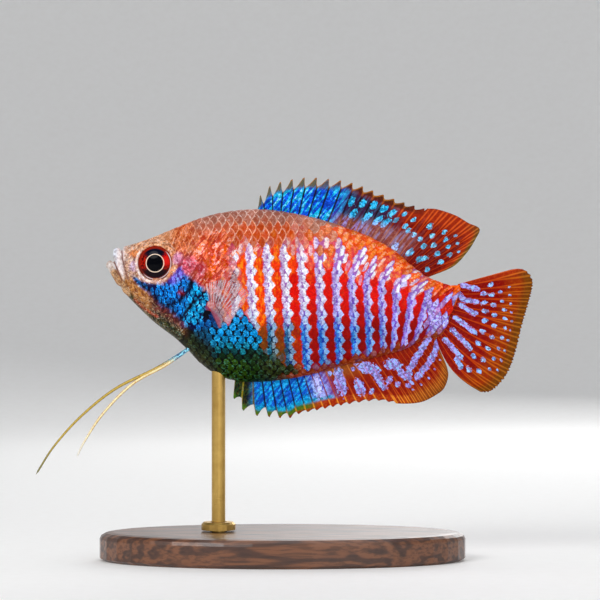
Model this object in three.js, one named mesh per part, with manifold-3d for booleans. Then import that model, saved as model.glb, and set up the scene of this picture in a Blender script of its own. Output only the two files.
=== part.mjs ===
// A dwarf gourami at life size, a still model on a display stand.
// Millimetres, +Z up. The fish faces -X and its left side faces -Y.
// The origin is the middle of the underside of the stand's base.

import * as THREE from 'three';
import { mergeVertices } from 'three/addons/utils/BufferGeometryUtils.js';
import Module from 'manifold-3d';

const wasm = await Module();
wasm.setup();

// Driving sizes

const GAP = 0.3;                 // clear space between neighbouring pieces

const NOSE = -27.6;              // the body's first and last full sections, along X
const TAIL = 29.4;
const NOSE_CAP = 1.0;            // length of the rounded end in front of the first section
const TAIL_CAP = 0.6;            // and behind the last
const WIDEST = 0.52;             // height of the widest level, from belly (0) to back (1)
const PINCH = { above: 1.1, below: 1.15 };           // 1 is a true oval, more is slimmer at the ridge
const LEAN = { from: 16, to: 28, most: 0.4 };        // the last sections lean back with height

const EYE = { x: -22.1, y: 2.9, z: 51.9, radius: 3.2, depth: 1.6 };
const GILL = { x: -16.5, z: 45.6, long: 4.9, wide: 3.9, tilt: 0.22, floor: 2.6 };

const FIN_ROOT = 0.9;            // thickness of a fin at the body and at its edge
const FIN_EDGE = 0.5;
const PECTORAL_THICK = 0.6;
const ROOTED = 0.6;              // how deep a fin is drawn into the body before it is trimmed
const CUT = 12;                  // how far the cutting tools reach to each side, past the body

const ROD = { x: -11.2, radius: 1.2, foot: 1.6, top: 37 };
const BASE = { long: 64, wide: 36, thick: 5, edge: 1.2 };
const COLLAR = { radius: 3, high: 1.4 };

// Body sections from snout to tail: place along X, back, belly, half width
const SECTIONS = [
  [-27.6, 54.95, 46.6, 2.25],
  [-25.0, 55.7, 43.95, 3.1],
  [-22.5, 56.6, 41.6, 3.75],
  [-18.0, 58.45, 38.1, 4.6],
  [-13.5, 60.15, 33.7, 5.2],
  [-9.0, 61.1, 31.5, 5.5],
  [-3.0, 61.36, 31.2, 5.5],
  [4.0, 60.3, 32.2, 5.1],
  [11.0, 58.3, 34.1, 4.3],
  [18.0, 55.1, 35.8, 3.2],
  [23.0, 50.1, 36.8, 2.3],
  [27.0, 48.3, 38.7, 1.4],
  [29.4, 48.2, 38.9, 0.7],
];

// Fins. spread is where the fin's rays root, as places along the body at even steps of ray number;
// edge is the ray's number, then the X and Z that its tip reaches; flag is where the point of each
// flag lies between one spine (0) and the next (1), and stops are the places drawn along a flag;
// the notches are deep at the front, then shallow
const DORSAL = {
  up: true, spines: 16, rays: 26, flag: 0.72, stops: [0, 0.4, 0.72], deep: 2.4, shallow: 0.6, settled: 8,
  spread: [-4.6, 3.0, 11.8, 18.5, 21.5, 23.4],
  edge: [
    [0, -4.7, 63.2], [0.72, -3.9, 64.3], [1.72, -2.2, 65.9], [2.72, -0.3, 66.6], [4.72, 3.9, 67.3],
    [6.72, 8.2, 67.0], [8.72, 12.3, 66.2], [10.72, 15.9, 64.8], [12.72, 19.6, 63.3], [15.72, 24.9, 61.6],
    [17, 27.0, 61.4], [19, 30.3, 60.3], [20.5, 32.5, 59.0], [22, 34.5, 57.9], [23, 33.7, 56.0],
    [24, 32.2, 53.7], [25, 29.8, 51.3], [26, 25.8, 49.6],
  ],
};
const ANAL = {
  up: false, spines: 17, rays: 32, flag: 0.15, stops: [0, 0.15, 0.6], deep: 2.3, shallow: 0.5, settled: 7,
  spread: [-8.3, 1.5, 9.5, 17.2, 23.9, 28.6],
  edge: [
    [0.15, -8.7, 27.9], [1.15, -7.1, 25.8], [2.15, -4.6, 24.8], [3.15, -2.4, 24.6], [5.15, 1.3, 24.6],
    [6.15, 2.8, 25.4], [8.15, 6.0, 26.1], [12.15, 11.7, 27.2], [15, 16.6, 27.8], [17, 19.9, 27.4],
    [19.3, 22.7, 27.4], [21.5, 24.8, 27.8], [23.8, 26.9, 28.9], [26, 28.3, 30.1], [28, 29.0, 32.2],
    [29.7, 28.7, 34.0], [31, 27.7, 36.4], [32, 27.0, 38.3],
  ],
};
const CAUDAL = {
  rays: 16, columns: 25, bulge: 1.3,
  edge: [
    [0, 41.2, 51.2], [1, 43.4, 49.9], [2, 43.9, 48.3], [4.5, 43.1, 45.0], [7, 41.9, 41.2],
    [9.5, 40.9, 36.5], [12, 39.6, 32.7], [13.5, 38.0, 30.3], [15, 36.4, 29.2], [16, 34.9, 29.2],
  ],
};
const PECTORAL = {
  rays: 10, start: 5.1, flare: 2.4,
  root: [[-12.2, 43.3], [-10.9, 40.6]],
  edge: [
    [0, -13.2, 48.3], [2.5, -10.1, 49.0], [5, -6.8, 47.6],
    [6.5, -5.9, 46.3], [8.5, -7.3, 43.9], [10, -8.9, 41.9],
  ],
};

// The cuts between head, trunk and tail stalk, as lines seen from the side
const HEAD_LINE = [[-10.6, 66], [-13.9, 49.5], [GILL.x, GILL.z], [-21.6, 38.5], [-23.4, 30]];
const STALK_LINE = [[24.6, 60], [26.6, 30]];

// The two feelers under the breast, root to tip
const FEELER_THICK = { root: 0.42, tip: 0.27 };
const FEELER_LEFT = [
  [-15.2, -0.7, 37.8], [-20.3, -1.6, 34.2], [-26.1, -2.7, 30.9], [-31.2, -3.9, 25.7],
  [-34.4, -4.8, 20.8], [-35.6, -5.2, 18.3],
];
const FEELER_RIGHT = [
  [-15.2, 0.7, 37.8], [-21.6, 2.0, 33.8], [-29.4, 3.8, 29.9], [-35.7, 5.4, 24.9],
  [-40.6, 6.6, 19.5], [-43.9, 7.3, 14.4],
];

// The upper lip from the middle of the mouth back to its right corner, and the two rolls of the lower jaw
const UPPER_LIP = {
  thick: 0.85, corner: 0.5,
  path: [[-29.0, 0, 53.8], [-28.75, 1.35, 52.4], [-28.1, 2.0, 50.8], [-27.1, 2.35, 49.3]],
};
const LOWER_LIP = { centre: [-29.95, 0, 51.5], size: [1.05, 1.5, 0.95] };
const CHIN = { centre: [-28.75, 0, 50.3], size: [1.25, 1.6, 1.15] };

// Solids: a closed mesh becomes a solid that can be joined and cut

function solid(geometry) {
  const bare = geometry.clone();
  bare.deleteAttribute('normal');
  bare.deleteAttribute('uv');
  const merged = mergeVertices(bare, 1e-5);
  const position = merged.getAttribute('position');
  const corners = Array.from(merged.getIndex().array);
  const triangles = [];
  for (let i = 0; i < corners.length; i += 3) {
    const [a, b, c] = corners.slice(i, i + 3);
    if (a !== b && b !== c && c !== a) triangles.push(a, b, c);
  }
  if (signedVolume(position, triangles) < 0) triangles.reverse();
  return new wasm.Manifold(new wasm.Mesh({
    numProp: 3,
    vertProperties: new Float32Array(position.array),
    triVerts: new Uint32Array(triangles),
  }));
}

function signedVolume(position, triangles) {
  const corner = [new THREE.Vector3(), new THREE.Vector3(), new THREE.Vector3()];
  let volume = 0;
  for (let i = 0; i < triangles.length; i += 3) {
    corner.forEach((point, k) => point.fromBufferAttribute(position, triangles[i + k]));
    volume += corner[0].dot(corner[1].clone().cross(corner[2])) / 6;
  }
  return volume;
}

function toGeometry(shape) {
  const mesh = shape.getMesh();
  const geometry = new THREE.BufferGeometry();
  geometry.setAttribute('position', new THREE.BufferAttribute(new Float32Array(mesh.vertProperties), 3));
  geometry.setIndex(new THREE.BufferAttribute(new Uint32Array(mesh.triVerts), 1));
  geometry.computeVertexNormals();
  return geometry;
}

// Moves every vertex of a geometry to where the function sends it
function reshape(geometry, place) {
  const position = geometry.getAttribute('position');
  const vertex = new THREE.Vector3();
  for (let i = 0; i < position.count; i++) {
    vertex.fromBufferAttribute(position, i);
    position.setXYZ(i, ...place(vertex));
  }
  return geometry;
}

// A curve through rows of [parameter, value, value, ...]
function curveThrough(rows) {
  const width = rows[0].length - 1;
  const curve = new THREE.CubicInterpolant(
    rows.map((row) => row[0]), rows.flatMap((row) => row.slice(1)), width, new Array(width));
  return (at) => Array.from(curve.evaluate(at));
}

// The body: oval sections, closed at the snout and at the root of the tail fin

const sectionCurve = curveThrough(SECTIONS);

function sectionAt(along) {
  const [back, belly, half] = sectionCurve(THREE.MathUtils.clamp(along, NOSE, TAIL));
  const past = Math.max((NOSE - along) / NOSE_CAP, (along - TAIL) / TAIL_CAP, 0);
  const close = Math.sqrt(Math.max(0, 1 - past * past));
  const middle = THREE.MathUtils.lerp(belly, back, WIDEST);
  const lean = LEAN.most * THREE.MathUtils.smoothstep(along, LEAN.from, LEAN.to);
  return { middle, lean, up: (back - middle) * close, down: (middle - belly) * close, half: half * close };
}

function bodyPoint(along, around, grow) {
  const { middle, lean, up, down, half } = sectionAt(along);
  const rise = Math.sin(around);
  const side = Math.cos(around);
  const above = rise > 0;
  const height = rise * ((above ? up : down) + grow);
  const pinch = above ? PINCH.above : PINCH.below;
  return [
    along + lean * height,
    Math.sign(side) * Math.abs(side) ** pinch * (half + grow),
    middle + height,
  ];
}

function bodySolid(grow = 0) {
  const first = NOSE - NOSE_CAP;
  const last = TAIL + TAIL_CAP;
  return solid(reshape(new THREE.SphereGeometry(1, 24, 36), ({ x, y, z }) => {
    const along = THREE.MathUtils.lerp(first, last, (1 - y) / 2);
    const atPole = Math.abs(y) > 1 - 1e-9;
    if (atPole) return [along + Math.sign(-y) * grow, 0, sectionAt(along).middle];
    return bodyPoint(along, Math.atan2(z, x), grow);
  }));
}

// Cutting tools seen from the side: an outline in X and Z, reaching from one Y to another

function sideCutter(points, from, to) {
  const shape = new THREE.Shape(points.map(([x, z]) => new THREE.Vector2(x, z)));
  const geometry = new THREE.ExtrudeGeometry(shape, { depth: to - from, bevelEnabled: false });
  geometry.rotateX(Math.PI / 2);
  geometry.translate(0, to, 0);
  return solid(geometry);
}

function gillOutline(grow) {
  const points = [];
  const count = 24;
  for (let i = 0; i < count; i++) {
    const angle = (2 * Math.PI * i) / count;
    const long = (GILL.long + grow) * Math.sin(angle);
    const wide = (GILL.wide + grow) * Math.cos(angle);
    points.push([
      GILL.x + wide * Math.cos(GILL.tilt) + long * Math.sin(GILL.tilt),
      GILL.z + long * Math.cos(GILL.tilt) - wide * Math.sin(GILL.tilt),
    ]);
  }
  return points;
}

// All that lies in front of the line from the nape, by the gill opening, to the throat
function headRegion(shift, gillGrow) {
  const outline = [[-40, 30], [-40, 66], ...HEAD_LINE.map(([x, z]) => [x + shift, z])];
  return sideCutter(outline, -CUT, CUT).add(sideCutter(gillOutline(gillGrow), -CUT, CUT));
}

function stalkRegion(shift) {
  return sideCutter([...STALK_LINE.map(([x, z]) => [x + shift, z]), [50, 30], [50, 60]], -CUT, CUT);
}

// A rounded tube along a curve, thinning as the function says
function taperedTube(points, radiusAt, sides, rings) {
  const path = new THREE.CatmullRomCurve3(points.map((point) => new THREE.Vector3(...point)));
  const { normals, binormals } = path.computeFrenetFrames(rings, false);
  return solid(reshape(new THREE.SphereGeometry(1, sides, rings), ({ x, y, z }) => {
    const ring = Math.round((Math.acos(THREE.MathUtils.clamp(y, -1, 1)) / Math.PI) * rings);
    const centre = path.getPointAt(ring / rings);
    const atEnd = ring === 0 || ring === rings;
    if (atEnd) return centre.toArray();
    const around = Math.atan2(z, x);
    const radius = radiusAt(ring / rings);
    centre.addScaledVector(normals[ring], radius * Math.cos(around));
    centre.addScaledVector(binormals[ring], radius * Math.sin(around));
    return centre.toArray();
  }));
}

// Fins: a thin plate drawn ray by ray from its root to its edge

function finPlate(columns, rows, place) {
  const box = new THREE.BoxGeometry(1, 1, 1, columns.length - 1, 1, rows);
  return solid(reshape(box, ({ x, y, z }) => {
    const ray = columns[Math.round((x + 0.5) * (columns.length - 1))];
    return place(ray, z + 0.5, 2 * y);
  }));
}

// The edge of a spiny fin is a row of flags: 0 at a flag's point, 1 in the notches beside it
function flagDip(ray, { spines, flag }) {
  const part = ray - Math.floor(ray);
  if (ray >= spines) return 0;
  return part < flag ? (1 - part / flag) ** 1.5 : (part - flag) / (1 - flag);
}

function spinyFin(fin) {
  const edgeAt = curveThrough(fin.edge);
  const step = fin.rays / (fin.spread.length - 1);
  const rootAt = curveThrough(fin.spread.map((along, i) => [i * step, along]));
  const columns = [];
  for (let ray = 0; ray < fin.rays; ray++) {
    const stops = ray < fin.spines ? fin.stops : [0];
    stops.forEach((stop) => columns.push(ray + stop));
  }
  columns.push(fin.rays);
  return finPlate(columns, 2, (ray, out, side) => {
    const [along] = rootAt(ray);
    const { middle, lean, up, down } = sectionAt(along);
    const height = fin.up ? up - ROOTED : ROOTED - down;
    const root = new THREE.Vector2(along + lean * height, middle + height);
    const tip = new THREE.Vector2(...edgeAt(ray));
    const settle = THREE.MathUtils.smoothstep(ray, 2, fin.settled);
    const dip = THREE.MathUtils.lerp(fin.deep, fin.shallow, settle) * flagDip(ray, fin);
    const reach = out * Math.max(0.05, 1 - dip / tip.distanceTo(root));
    const point = root.lerp(tip, reach);
    return [point.x, side * THREE.MathUtils.lerp(FIN_ROOT, FIN_EDGE, out) / 2, point.y];
  });
}

function caudalFin() {
  const edgeAt = curveThrough(CAUDAL.edge);
  const columns = Array.from({ length: CAUDAL.columns + 1 }, (_, i) => (i * CAUDAL.rays) / CAUDAL.columns);
  const { middle, lean, up, down } = sectionAt(TAIL);
  return finPlate(columns, 3, (ray, out, side) => {
    const share = ray / CAUDAL.rays;
    const height = THREE.MathUtils.lerp(up + 0.1, -down - 0.3, share);
    const root = new THREE.Vector2(TAIL + lean * height, middle + height);
    const tip = new THREE.Vector2(...edgeAt(ray));
    const across = new THREE.Vector2(root.y - tip.y, tip.x - root.x).normalize();
    const bow = -CAUDAL.bulge * share ** 3 * Math.sin(Math.PI * out);
    const point = root.lerp(tip, out).addScaledVector(across, bow);
    return [point.x, side * THREE.MathUtils.lerp(FIN_ROOT, FIN_EDGE, out) / 2, point.y];
  });
}

// The paddle behind the gill cover stands out from the flank; hand is -1 on the left side
function pectoralFin(hand) {
  const edgeAt = curveThrough(PECTORAL.edge);
  const columns = Array.from({ length: PECTORAL.rays + 1 }, (_, i) => i);
  const [top, bottom] = PECTORAL.root.map((place) => new THREE.Vector2(...place));
  return finPlate(columns, 3, (ray, out, side) => {
    const root = top.clone().lerp(bottom, ray / PECTORAL.rays);
    const point = root.lerp(new THREE.Vector2(...edgeAt(ray)), out);
    const away = PECTORAL.start + PECTORAL.flare * Math.sqrt(out);
    return [point.x, hand * (away + side * PECTORAL_THICK / 2), point.y];
  });
}

// Eyes, mouth and gill covers

function upperLip(grow) {
  const { thick, corner, path } = UPPER_LIP;
  const rightSide = path.slice(1);
  const leftSide = rightSide.map(([x, y, z]) => [x, -y, z]).reverse();
  const radiusAt = (t) => THREE.MathUtils.lerp(corner, thick, Math.sin(Math.PI * t) ** 2) + grow;
  return taperedTube([...leftSide, path[0], ...rightSide], radiusAt, 7, 14);
}

function roll({ centre, size }, grow) {
  const ball = new THREE.SphereGeometry(1, 12, 8);
  ball.scale(...size.map((radius) => radius + grow));
  ball.translate(...centre);
  return solid(ball);
}

function lowerJaw(grow) {
  return roll(LOWER_LIP, grow).add(roll(CHIN, grow));
}

function eyeball(hand, grow) {
  const ball = new THREE.SphereGeometry(1, 16, 8);
  ball.scale(EYE.radius + grow, EYE.depth + grow, EYE.radius + grow);
  ball.translate(EYE.x, hand * EYE.y, EYE.z);
  return solid(ball);
}

// Everything further out to one side than the depth
function outsideOf(depth, hand) {
  const corners = [[-40, 20], [40, 20], [40, 70], [-40, 70]];
  return hand < 0 ? sideCutter(corners, -CUT, -depth) : sideCutter(corners, depth, CUT);
}

// Stand: an oval base, one rod up to the breast and a collar at the rod's foot

function turned(profile, segments) {
  const shape = new THREE.LatheGeometry(profile.map(([r, z]) => new THREE.Vector2(r, z)), segments);
  shape.rotateX(Math.PI / 2);
  return shape;
}

function standRod(grow) {
  const r = ROD.radius + grow;
  const bottom = ROD.foot - grow;
  const top = ROD.top + grow;
  const bevel = 0.3;
  const profile = [
    [0, bottom], [r - bevel, bottom], [r, bottom + bevel],
    [r, top - bevel], [r - bevel, top], [0, top],
  ];
  const rod = turned(profile, 20);
  rod.translate(ROD.x, 0, 0);
  return solid(rod);
}

function standBase() {
  const r = BASE.wide / 2;
  const foot = 0.5;
  const profile = [[0, 0], [r - foot, 0], [r, foot], [r, BASE.thick - BASE.edge]];
  const steps = 3;
  for (let i = 1; i <= steps; i++) {
    const angle = (Math.PI / 2) * (i / steps);
    profile.push([r - BASE.edge * (1 - Math.cos(angle)), BASE.thick - BASE.edge * (1 - Math.sin(angle))]);
  }
  profile.push([0, BASE.thick]);
  const base = turned(profile, 40);
  base.scale(BASE.long / BASE.wide, 1, 1);
  return solid(base);
}

function standCollar() {
  const inner = ROD.radius + GAP;
  const low = BASE.thick + GAP;
  const high = low + COLLAR.high;
  const bevel = 0.4;
  const ring = [
    [inner, low], [COLLAR.radius, low], [COLLAR.radius, high - bevel],
    [COLLAR.radius - bevel, high], [inner, high], [inner, low],
  ];
  const collar = turned(ring, 24);
  collar.translate(ROD.x, 0, 0);
  return solid(collar);
}

// Assembly

const fish = new THREE.Group();

function addPart(name, shape, colour, roughness, metalness = 0) {
  const material = new THREE.MeshStandardMaterial({ color: colour, roughness, metalness });
  const mesh = new THREE.Mesh(toGeometry(shape), material);
  mesh.name = name;
  fish.add(mesh);
}

const SIDES = { left: -1, right: 1 };
const body = bodySolid();
const aroundBody = bodySolid(GAP);

let head = body.intersect(headRegion(0, 0)).subtract(lowerJaw(GAP)).subtract(upperLip(GAP));
for (const hand of Object.values(SIDES)) {
  const pocket = sideCutter(gillOutline(GAP), -CUT, CUT).intersect(outsideOf(GILL.floor - GAP, hand));
  head = head.subtract(pocket).subtract(eyeball(hand, GAP));
}
addPart('head', head, 0xb5653c, 0.45);

for (const [side, hand] of Object.entries(SIDES)) {
  const cover = body.intersect(sideCutter(gillOutline(0), -CUT, CUT)).intersect(outsideOf(GILL.floor, hand));
  addPart(`gill_cover_${side}`, cover, 0x1c78d8, 0.35);
  addPart(`eye_${side}`, eyeball(hand, 0), 0x300a0a, 0.08);
}

const trunk = body.subtract(headRegion(GAP, GAP)).subtract(stalkRegion(-GAP)).subtract(standRod(GAP));
addPart('trunk', trunk, 0xb03022, 0.4);
addPart('tail_stalk', body.intersect(stalkRegion(0)), 0xc0361c, 0.4);

addPart('jaw_lower', lowerJaw(0), 0xb9a08c, 0.4);
addPart('jaw_upper', upperLip(0).subtract(lowerJaw(GAP)), 0xd4c4bc, 0.4);

addPart('dorsal_fin', spinyFin(DORSAL).subtract(aroundBody), 0x7a3a58, 0.4);
addPart('anal_fin', spinyFin(ANAL).subtract(aroundBody), 0xa8401c, 0.4);
addPart('caudal_fin', caudalFin().subtract(aroundBody), 0x9c2410, 0.4);

const paths = { left: FEELER_LEFT, right: FEELER_RIGHT };
for (const [side, hand] of Object.entries(SIDES)) {
  addPart(`pectoral_fin_${side}`, pectoralFin(hand).subtract(aroundBody), 0xd8c8d0, 0.3);
  const radiusAt = (t) => THREE.MathUtils.lerp(FEELER_THICK.root, FEELER_THICK.tip, t);
  const feeler = taperedTube(paths[side], radiusAt, 6, 20);
  addPart(`pelvic_feeler_${side}`, feeler.subtract(aroundBody), 0xe0902c, 0.4);
}

addPart('stand_base', standBase().subtract(standRod(GAP)), 0x3a2418, 0.45);
addPart('stand_rod', standRod(0), 0xb08d4a, 0.3, 1);
addPart('stand_collar', standCollar(), 0xb08d4a, 0.3, 1);

export default fish;
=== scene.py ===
# %% [markdown]
# A dwarf gourami, scale by scale.
#
# The real fish is 75 mm long. It has a soft, nearly bare snout, a body clothed in overlapping
# scales, fins that are thin skin stretched on rays, and two long feelers. The lesson builds it
# in that order: first one skin, then the scales laid on it like roof tiles, then eyes, fins and
# feelers, and last the stand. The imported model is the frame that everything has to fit.

# %% Load the frame
import math

import bmesh
import bpy
import numpy as np
from mathutils import Matrix, Vector


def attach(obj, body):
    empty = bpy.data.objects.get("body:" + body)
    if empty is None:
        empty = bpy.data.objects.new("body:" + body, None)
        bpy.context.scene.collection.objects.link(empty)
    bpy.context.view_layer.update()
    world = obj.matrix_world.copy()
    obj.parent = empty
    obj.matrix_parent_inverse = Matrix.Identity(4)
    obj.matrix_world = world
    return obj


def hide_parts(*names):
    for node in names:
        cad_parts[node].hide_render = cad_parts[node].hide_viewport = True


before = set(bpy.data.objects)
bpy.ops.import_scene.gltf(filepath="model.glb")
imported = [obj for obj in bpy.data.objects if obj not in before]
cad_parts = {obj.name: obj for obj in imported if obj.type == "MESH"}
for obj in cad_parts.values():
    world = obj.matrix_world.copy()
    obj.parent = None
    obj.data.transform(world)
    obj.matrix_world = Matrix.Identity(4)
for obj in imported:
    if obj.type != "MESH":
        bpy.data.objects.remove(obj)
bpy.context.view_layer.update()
MM = 0.001
scene = bpy.context.scene
print("the frame holds", len(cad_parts), "nodes")

# %% [markdown]
# The camera stands level with the fish and looks at its left side, as in a portrait taken
# through the glass of a tank. A long lens from half a metre keeps the side view flat. Blender's
# standard colours are used, because the film-like ones would dull the reds and blues.

# %% Camera
SENSOR = 36
CAMERA_AWAY = 500
VIEW_WIDE = 105
AIM = (3.06, 0, 45.5)

camera_data = bpy.data.cameras.new("camera")
camera_data.sensor_width = SENSOR
camera_data.lens = SENSOR * CAMERA_AWAY / VIEW_WIDE
camera = bpy.data.objects.new("camera", camera_data)
camera.location = Vector((AIM[0], -CAMERA_AWAY, AIM[2])) * MM
camera.rotation_euler = (math.radians(90), 0, 0)
scene.collection.objects.link(camera)
scene.camera = camera
scene.view_settings.view_transform = "Standard"
print("lens", round(camera_data.lens, 1), "mm")

# %% [markdown]
# Soft studio light comes from large glowing panels. The key panel is high at the left, where the
# photograph's highlights are, a broad fill stands behind the camera, and two more keep the back
# and the far side readable when the model is turned.

# %% Light
PANELS = {  # name: (place, size, watts)
    "key": ((-260, -380, 330), 300, 1.42),
    "fill": ((240, -460, 120), 420, 0.45),
    "top": ((30, 60, 480), 380, 0.6),
    "far_side": ((120, 430, 240), 380, 0.8),
}


def light_panel(name, place, size, watts):
    data = bpy.data.lights.new(name, "AREA")
    data.shape = "DISK"
    data.size = size * MM
    data.energy = watts
    panel = bpy.data.objects.new(name, data)
    panel.location = Vector(place) * MM
    toward = Vector((0, 0, 45)) - Vector(place)
    panel.rotation_euler = toward.to_track_quat("-Z", "Y").to_euler()
    panel.visible_camera = False
    scene.collection.objects.link(panel)


for name, (place, size, watts) in PANELS.items():
    light_panel(name, place, size, watts)

world = bpy.data.worlds.new("studio")
world.use_nodes = True
world.node_tree.nodes["Background"].inputs["Color"].default_value = (0.86, 0.9, 1.0, 1)
world.node_tree.nodes["Background"].inputs["Strength"].default_value = 0.2
scene.world = world
print(len(PANELS), "light panels")

# %% [markdown]
# A finish in Blender is a graph of nodes. Built box by box it takes a line for every node and
# every wire, so a small class stands for what flows along a wire: `fine * 0.8 - 0.4` then adds
# the two Math nodes for it. A colour in such a sum counts as its lightness. The sums that have no
# sign of their own, such as the larger of two values, go through `calc`.

# %% What flows along a wire
class Flow:
    """A value, colour or vector that flows through a graph. A sum with it adds a Math node."""

    def __init__(self, socket):
        self.socket = socket
        self.tree = socket.id_data

    def __add__(self, other):
        return calc("ADD", self, other)

    def __sub__(self, other):
        return calc("SUBTRACT", self, other)

    def __rsub__(self, other):
        return calc("SUBTRACT", other, self)

    def __mul__(self, other):
        return calc("MULTIPLY", self, other)

    def __truediv__(self, other):
        return calc("DIVIDE", self, other)

    def __pow__(self, power):
        return calc("POWER", self, power)

    def __abs__(self):
        return calc("ABSOLUTE", self)


def tree_of(values):
    """The graph that the first flow among these values belongs to."""
    return next(value.tree for value in values if isinstance(value, Flow))


def wire(socket, value):
    """Links a flow to a socket, or sets a number or colour on it."""
    if isinstance(value, Flow):
        value.tree.links.new(value.socket, socket)
    else:
        socket.default_value = value


def add_node(tree, kind, inputs, output=0, **settings):
    """Adds a node, wires its inputs, given by name or number, and hands back one output."""
    node = tree.nodes.new("ShaderNode" + kind)
    for name, value in settings.items():
        setattr(node, name, value)
    for name, value in inputs.items():
        wire(node.inputs[name], value)
    return Flow(node.outputs[output])


def calc(what, *values):
    return add_node(tree_of(values), "Math", dict(enumerate(values)), operation=what)


print("sums become Math nodes")

# %% [markdown]
# The nodes that nearly every finish needs get a helper each: `ease` is a soft step, `blend` a mix
# of two colours, `noise` a natural unevenness, `flecks` are small facets, and `raised` makes the
# bumps that light shows. A colour is given as a paint chip, the same six letters that a painter's
# program shows.

# %% Node helpers
def chip(code):
    """The colour of a paint chip such as D9531E, as light values."""
    parts = np.array([int(code[i : i + 2], 16) / 255 for i in (0, 2, 4)])
    return np.where(parts <= 0.04045, parts / 12.92, ((parts + 0.055) / 1.055) ** 2.4)


def paint(code):
    return (*chip(code), 1)


def ease(value, start, end):
    """A soft step from 0 at start to 1 at end; start may be the larger of the two."""
    inputs = {"Value": value, "From Min": min(start, end), "From Max": max(start, end)}
    if start > end:
        inputs |= {"To Min": 1, "To Max": 0}
    return add_node(value.tree, "MapRange", inputs, "Result", interpolation_type="SMOOTHSTEP")


def blend(share, first, second, how="MIX"):
    """A mix of two colours. Its sockets go by number, since the Mix node names several alike."""
    inputs = {0: share, 6: first, 7: second}
    return add_node(tree_of(inputs.values()), "Mix", inputs, 2, data_type="RGBA", blend_type=how)


def noise(place, fine, detail=2.0, rough=0.5):
    inputs = {"Vector": place, "Scale": fine, "Detail": detail, "Roughness": rough}
    return add_node(place.tree, "TexNoise", inputs, "Fac")


def parts_of(vector):
    first = add_node(vector.tree, "SeparateXYZ", {0: vector})
    return [Flow(output) for output in first.socket.node.outputs]


def flecks(place, fine):
    """Small facets, each with its own chance value from 0 to 1."""
    return parts_of(add_node(place.tree, "TexVoronoi", {"Vector": place, "Scale": fine}, "Color"))[0]


def place_in_mm(tree, stretch=(1, 1, 1), turn=0):
    """The point on the object in millimetres, for a pattern drawn out by stretch and turned about Y
    by some degrees."""
    point = add_node(tree, "TexCoord", {}, "Object")
    scale = [MM * part for part in stretch]
    inputs = {"Vector": point, "Scale": scale, "Rotation": (0, math.radians(turn), 0)}
    return add_node(tree, "Mapping", inputs, "Vector", vector_type="TEXTURE")


def painted(tree, name, output="Vector"):
    """What the mesh carries under a name."""
    return add_node(tree, "Attribute", {}, output, attribute_name=name)


def raised(height, depth, strength):
    """A normal from a height pattern; depth is its full height in millimetres."""
    inputs = {"Height": height, "Distance": depth * MM, "Strength": strength}
    return add_node(height.tree, "Bump", inputs, "Normal")


print("helpers ready")

# %% [markdown]
# A material starts from Blender's one general shader, with the values that are the same all over
# set on its own sockets. An effect that several materials share is a group: a graph in a box,
# with named sockets, that each of them can place.

# %% Materials and groups
def set_inputs(node, **values):
    for name, value in values.items():
        wire(node.inputs[name.replace("_", " ")], value)


def new_finish(name, **values):
    """A material, its graph, and its shader with values that are the same all over."""
    material = bpy.data.materials.new(name)
    material.use_nodes = True
    shader = material.node_tree.nodes["Principled BSDF"]
    set_inputs(shader, **values)
    return material, material.node_tree, shader


def new_group(name, inputs, outputs):
    """What flows into a new group, by name, and the node that takes its results."""
    tree = bpy.data.node_groups.new(name, "ShaderNodeTree")
    for in_out, sockets in (("INPUT", inputs), ("OUTPUT", outputs)):
        for title, kind in sockets.items():
            tree.interface.new_socket(title, in_out=in_out, socket_type="NodeSocket" + kind)
    given = tree.nodes.new("NodeGroupInput").outputs
    return {title: Flow(given[title]) for title in inputs}, tree.nodes.new("NodeGroupOutput")


def use_group(group, **values):
    """Places a group in the graph of the values that flow into it."""
    node = tree_of(values.values()).nodes.new("ShaderNodeGroup")
    node.node_tree = group
    set_inputs(node, **values)
    return {output.name: Flow(output) for output in node.outputs}


print("materials and groups ready")

# %% [markdown]
# The floor is one sheet of pale paper that curves up all round like a shallow bowl, so that no edge
# shows from any side. A photographer hangs such a sheet behind the table only, but a model is
# turned about. Half of its outline is drawn from the middle outwards, and spun round once.

# %% Floor
FLOOR_RADIUS = 460
CURVE = 380
CURVE_STEPS = 12
WALL_TOP = 640


def mesh_from(bm, name):
    mesh = bpy.data.meshes.new(name)
    bm.to_mesh(mesh)
    bm.free()
    return mesh


def paper_bowl():
    line = [(0, 0, 0), (FLOOR_RADIUS, 0, 0)]
    for step in range(1, CURVE_STEPS + 1):
        angle = math.radians(90) * step / CURVE_STEPS
        line.append((FLOOR_RADIUS + CURVE * math.sin(angle), 0, CURVE * (1 - math.cos(angle))))
    line.append((FLOOR_RADIUS + CURVE, 0, WALL_TOP))
    bm = bmesh.new()
    corners = [bm.verts.new(Vector(point) * MM) for point in line]
    edges = [bm.edges.new(pair) for pair in zip(corners, corners[1:])]
    bmesh.ops.spin(bm, geom=corners + edges, cent=(0, 0, 0), axis=(0, 0, 1), angle=math.tau, steps=96,
                   use_merge=True, use_duplicate=False)
    bmesh.ops.remove_doubles(bm, verts=bm.verts, dist=MM / 100)
    bmesh.ops.recalc_face_normals(bm, faces=bm.faces)
    if sum(face.normal.z for face in bm.faces) < 0:
        bmesh.ops.reverse_faces(bm, faces=bm.faces)
    mesh = mesh_from(bm, "paper_floor")
    mesh.shade_smooth()
    sheet = bpy.data.objects.new("paper_floor", mesh)
    scene.collection.objects.link(sheet)
    return sheet


floor = paper_bowl()
paper, tree, shader = new_finish(
    "matt_paper", Roughness=0.85, Emission_Color=(1, 1, 1, 1), Emission_Strength=0.1)
grain = noise(place_in_mm(tree), 0.4, 3)
set_inputs(shader, Base_Color=blend(grain, paint("E9E8E6"), paint("EFEFEE")))
floor.data.materials.append(paper)
print("floor curves up", CURVE, "mm")

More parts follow.
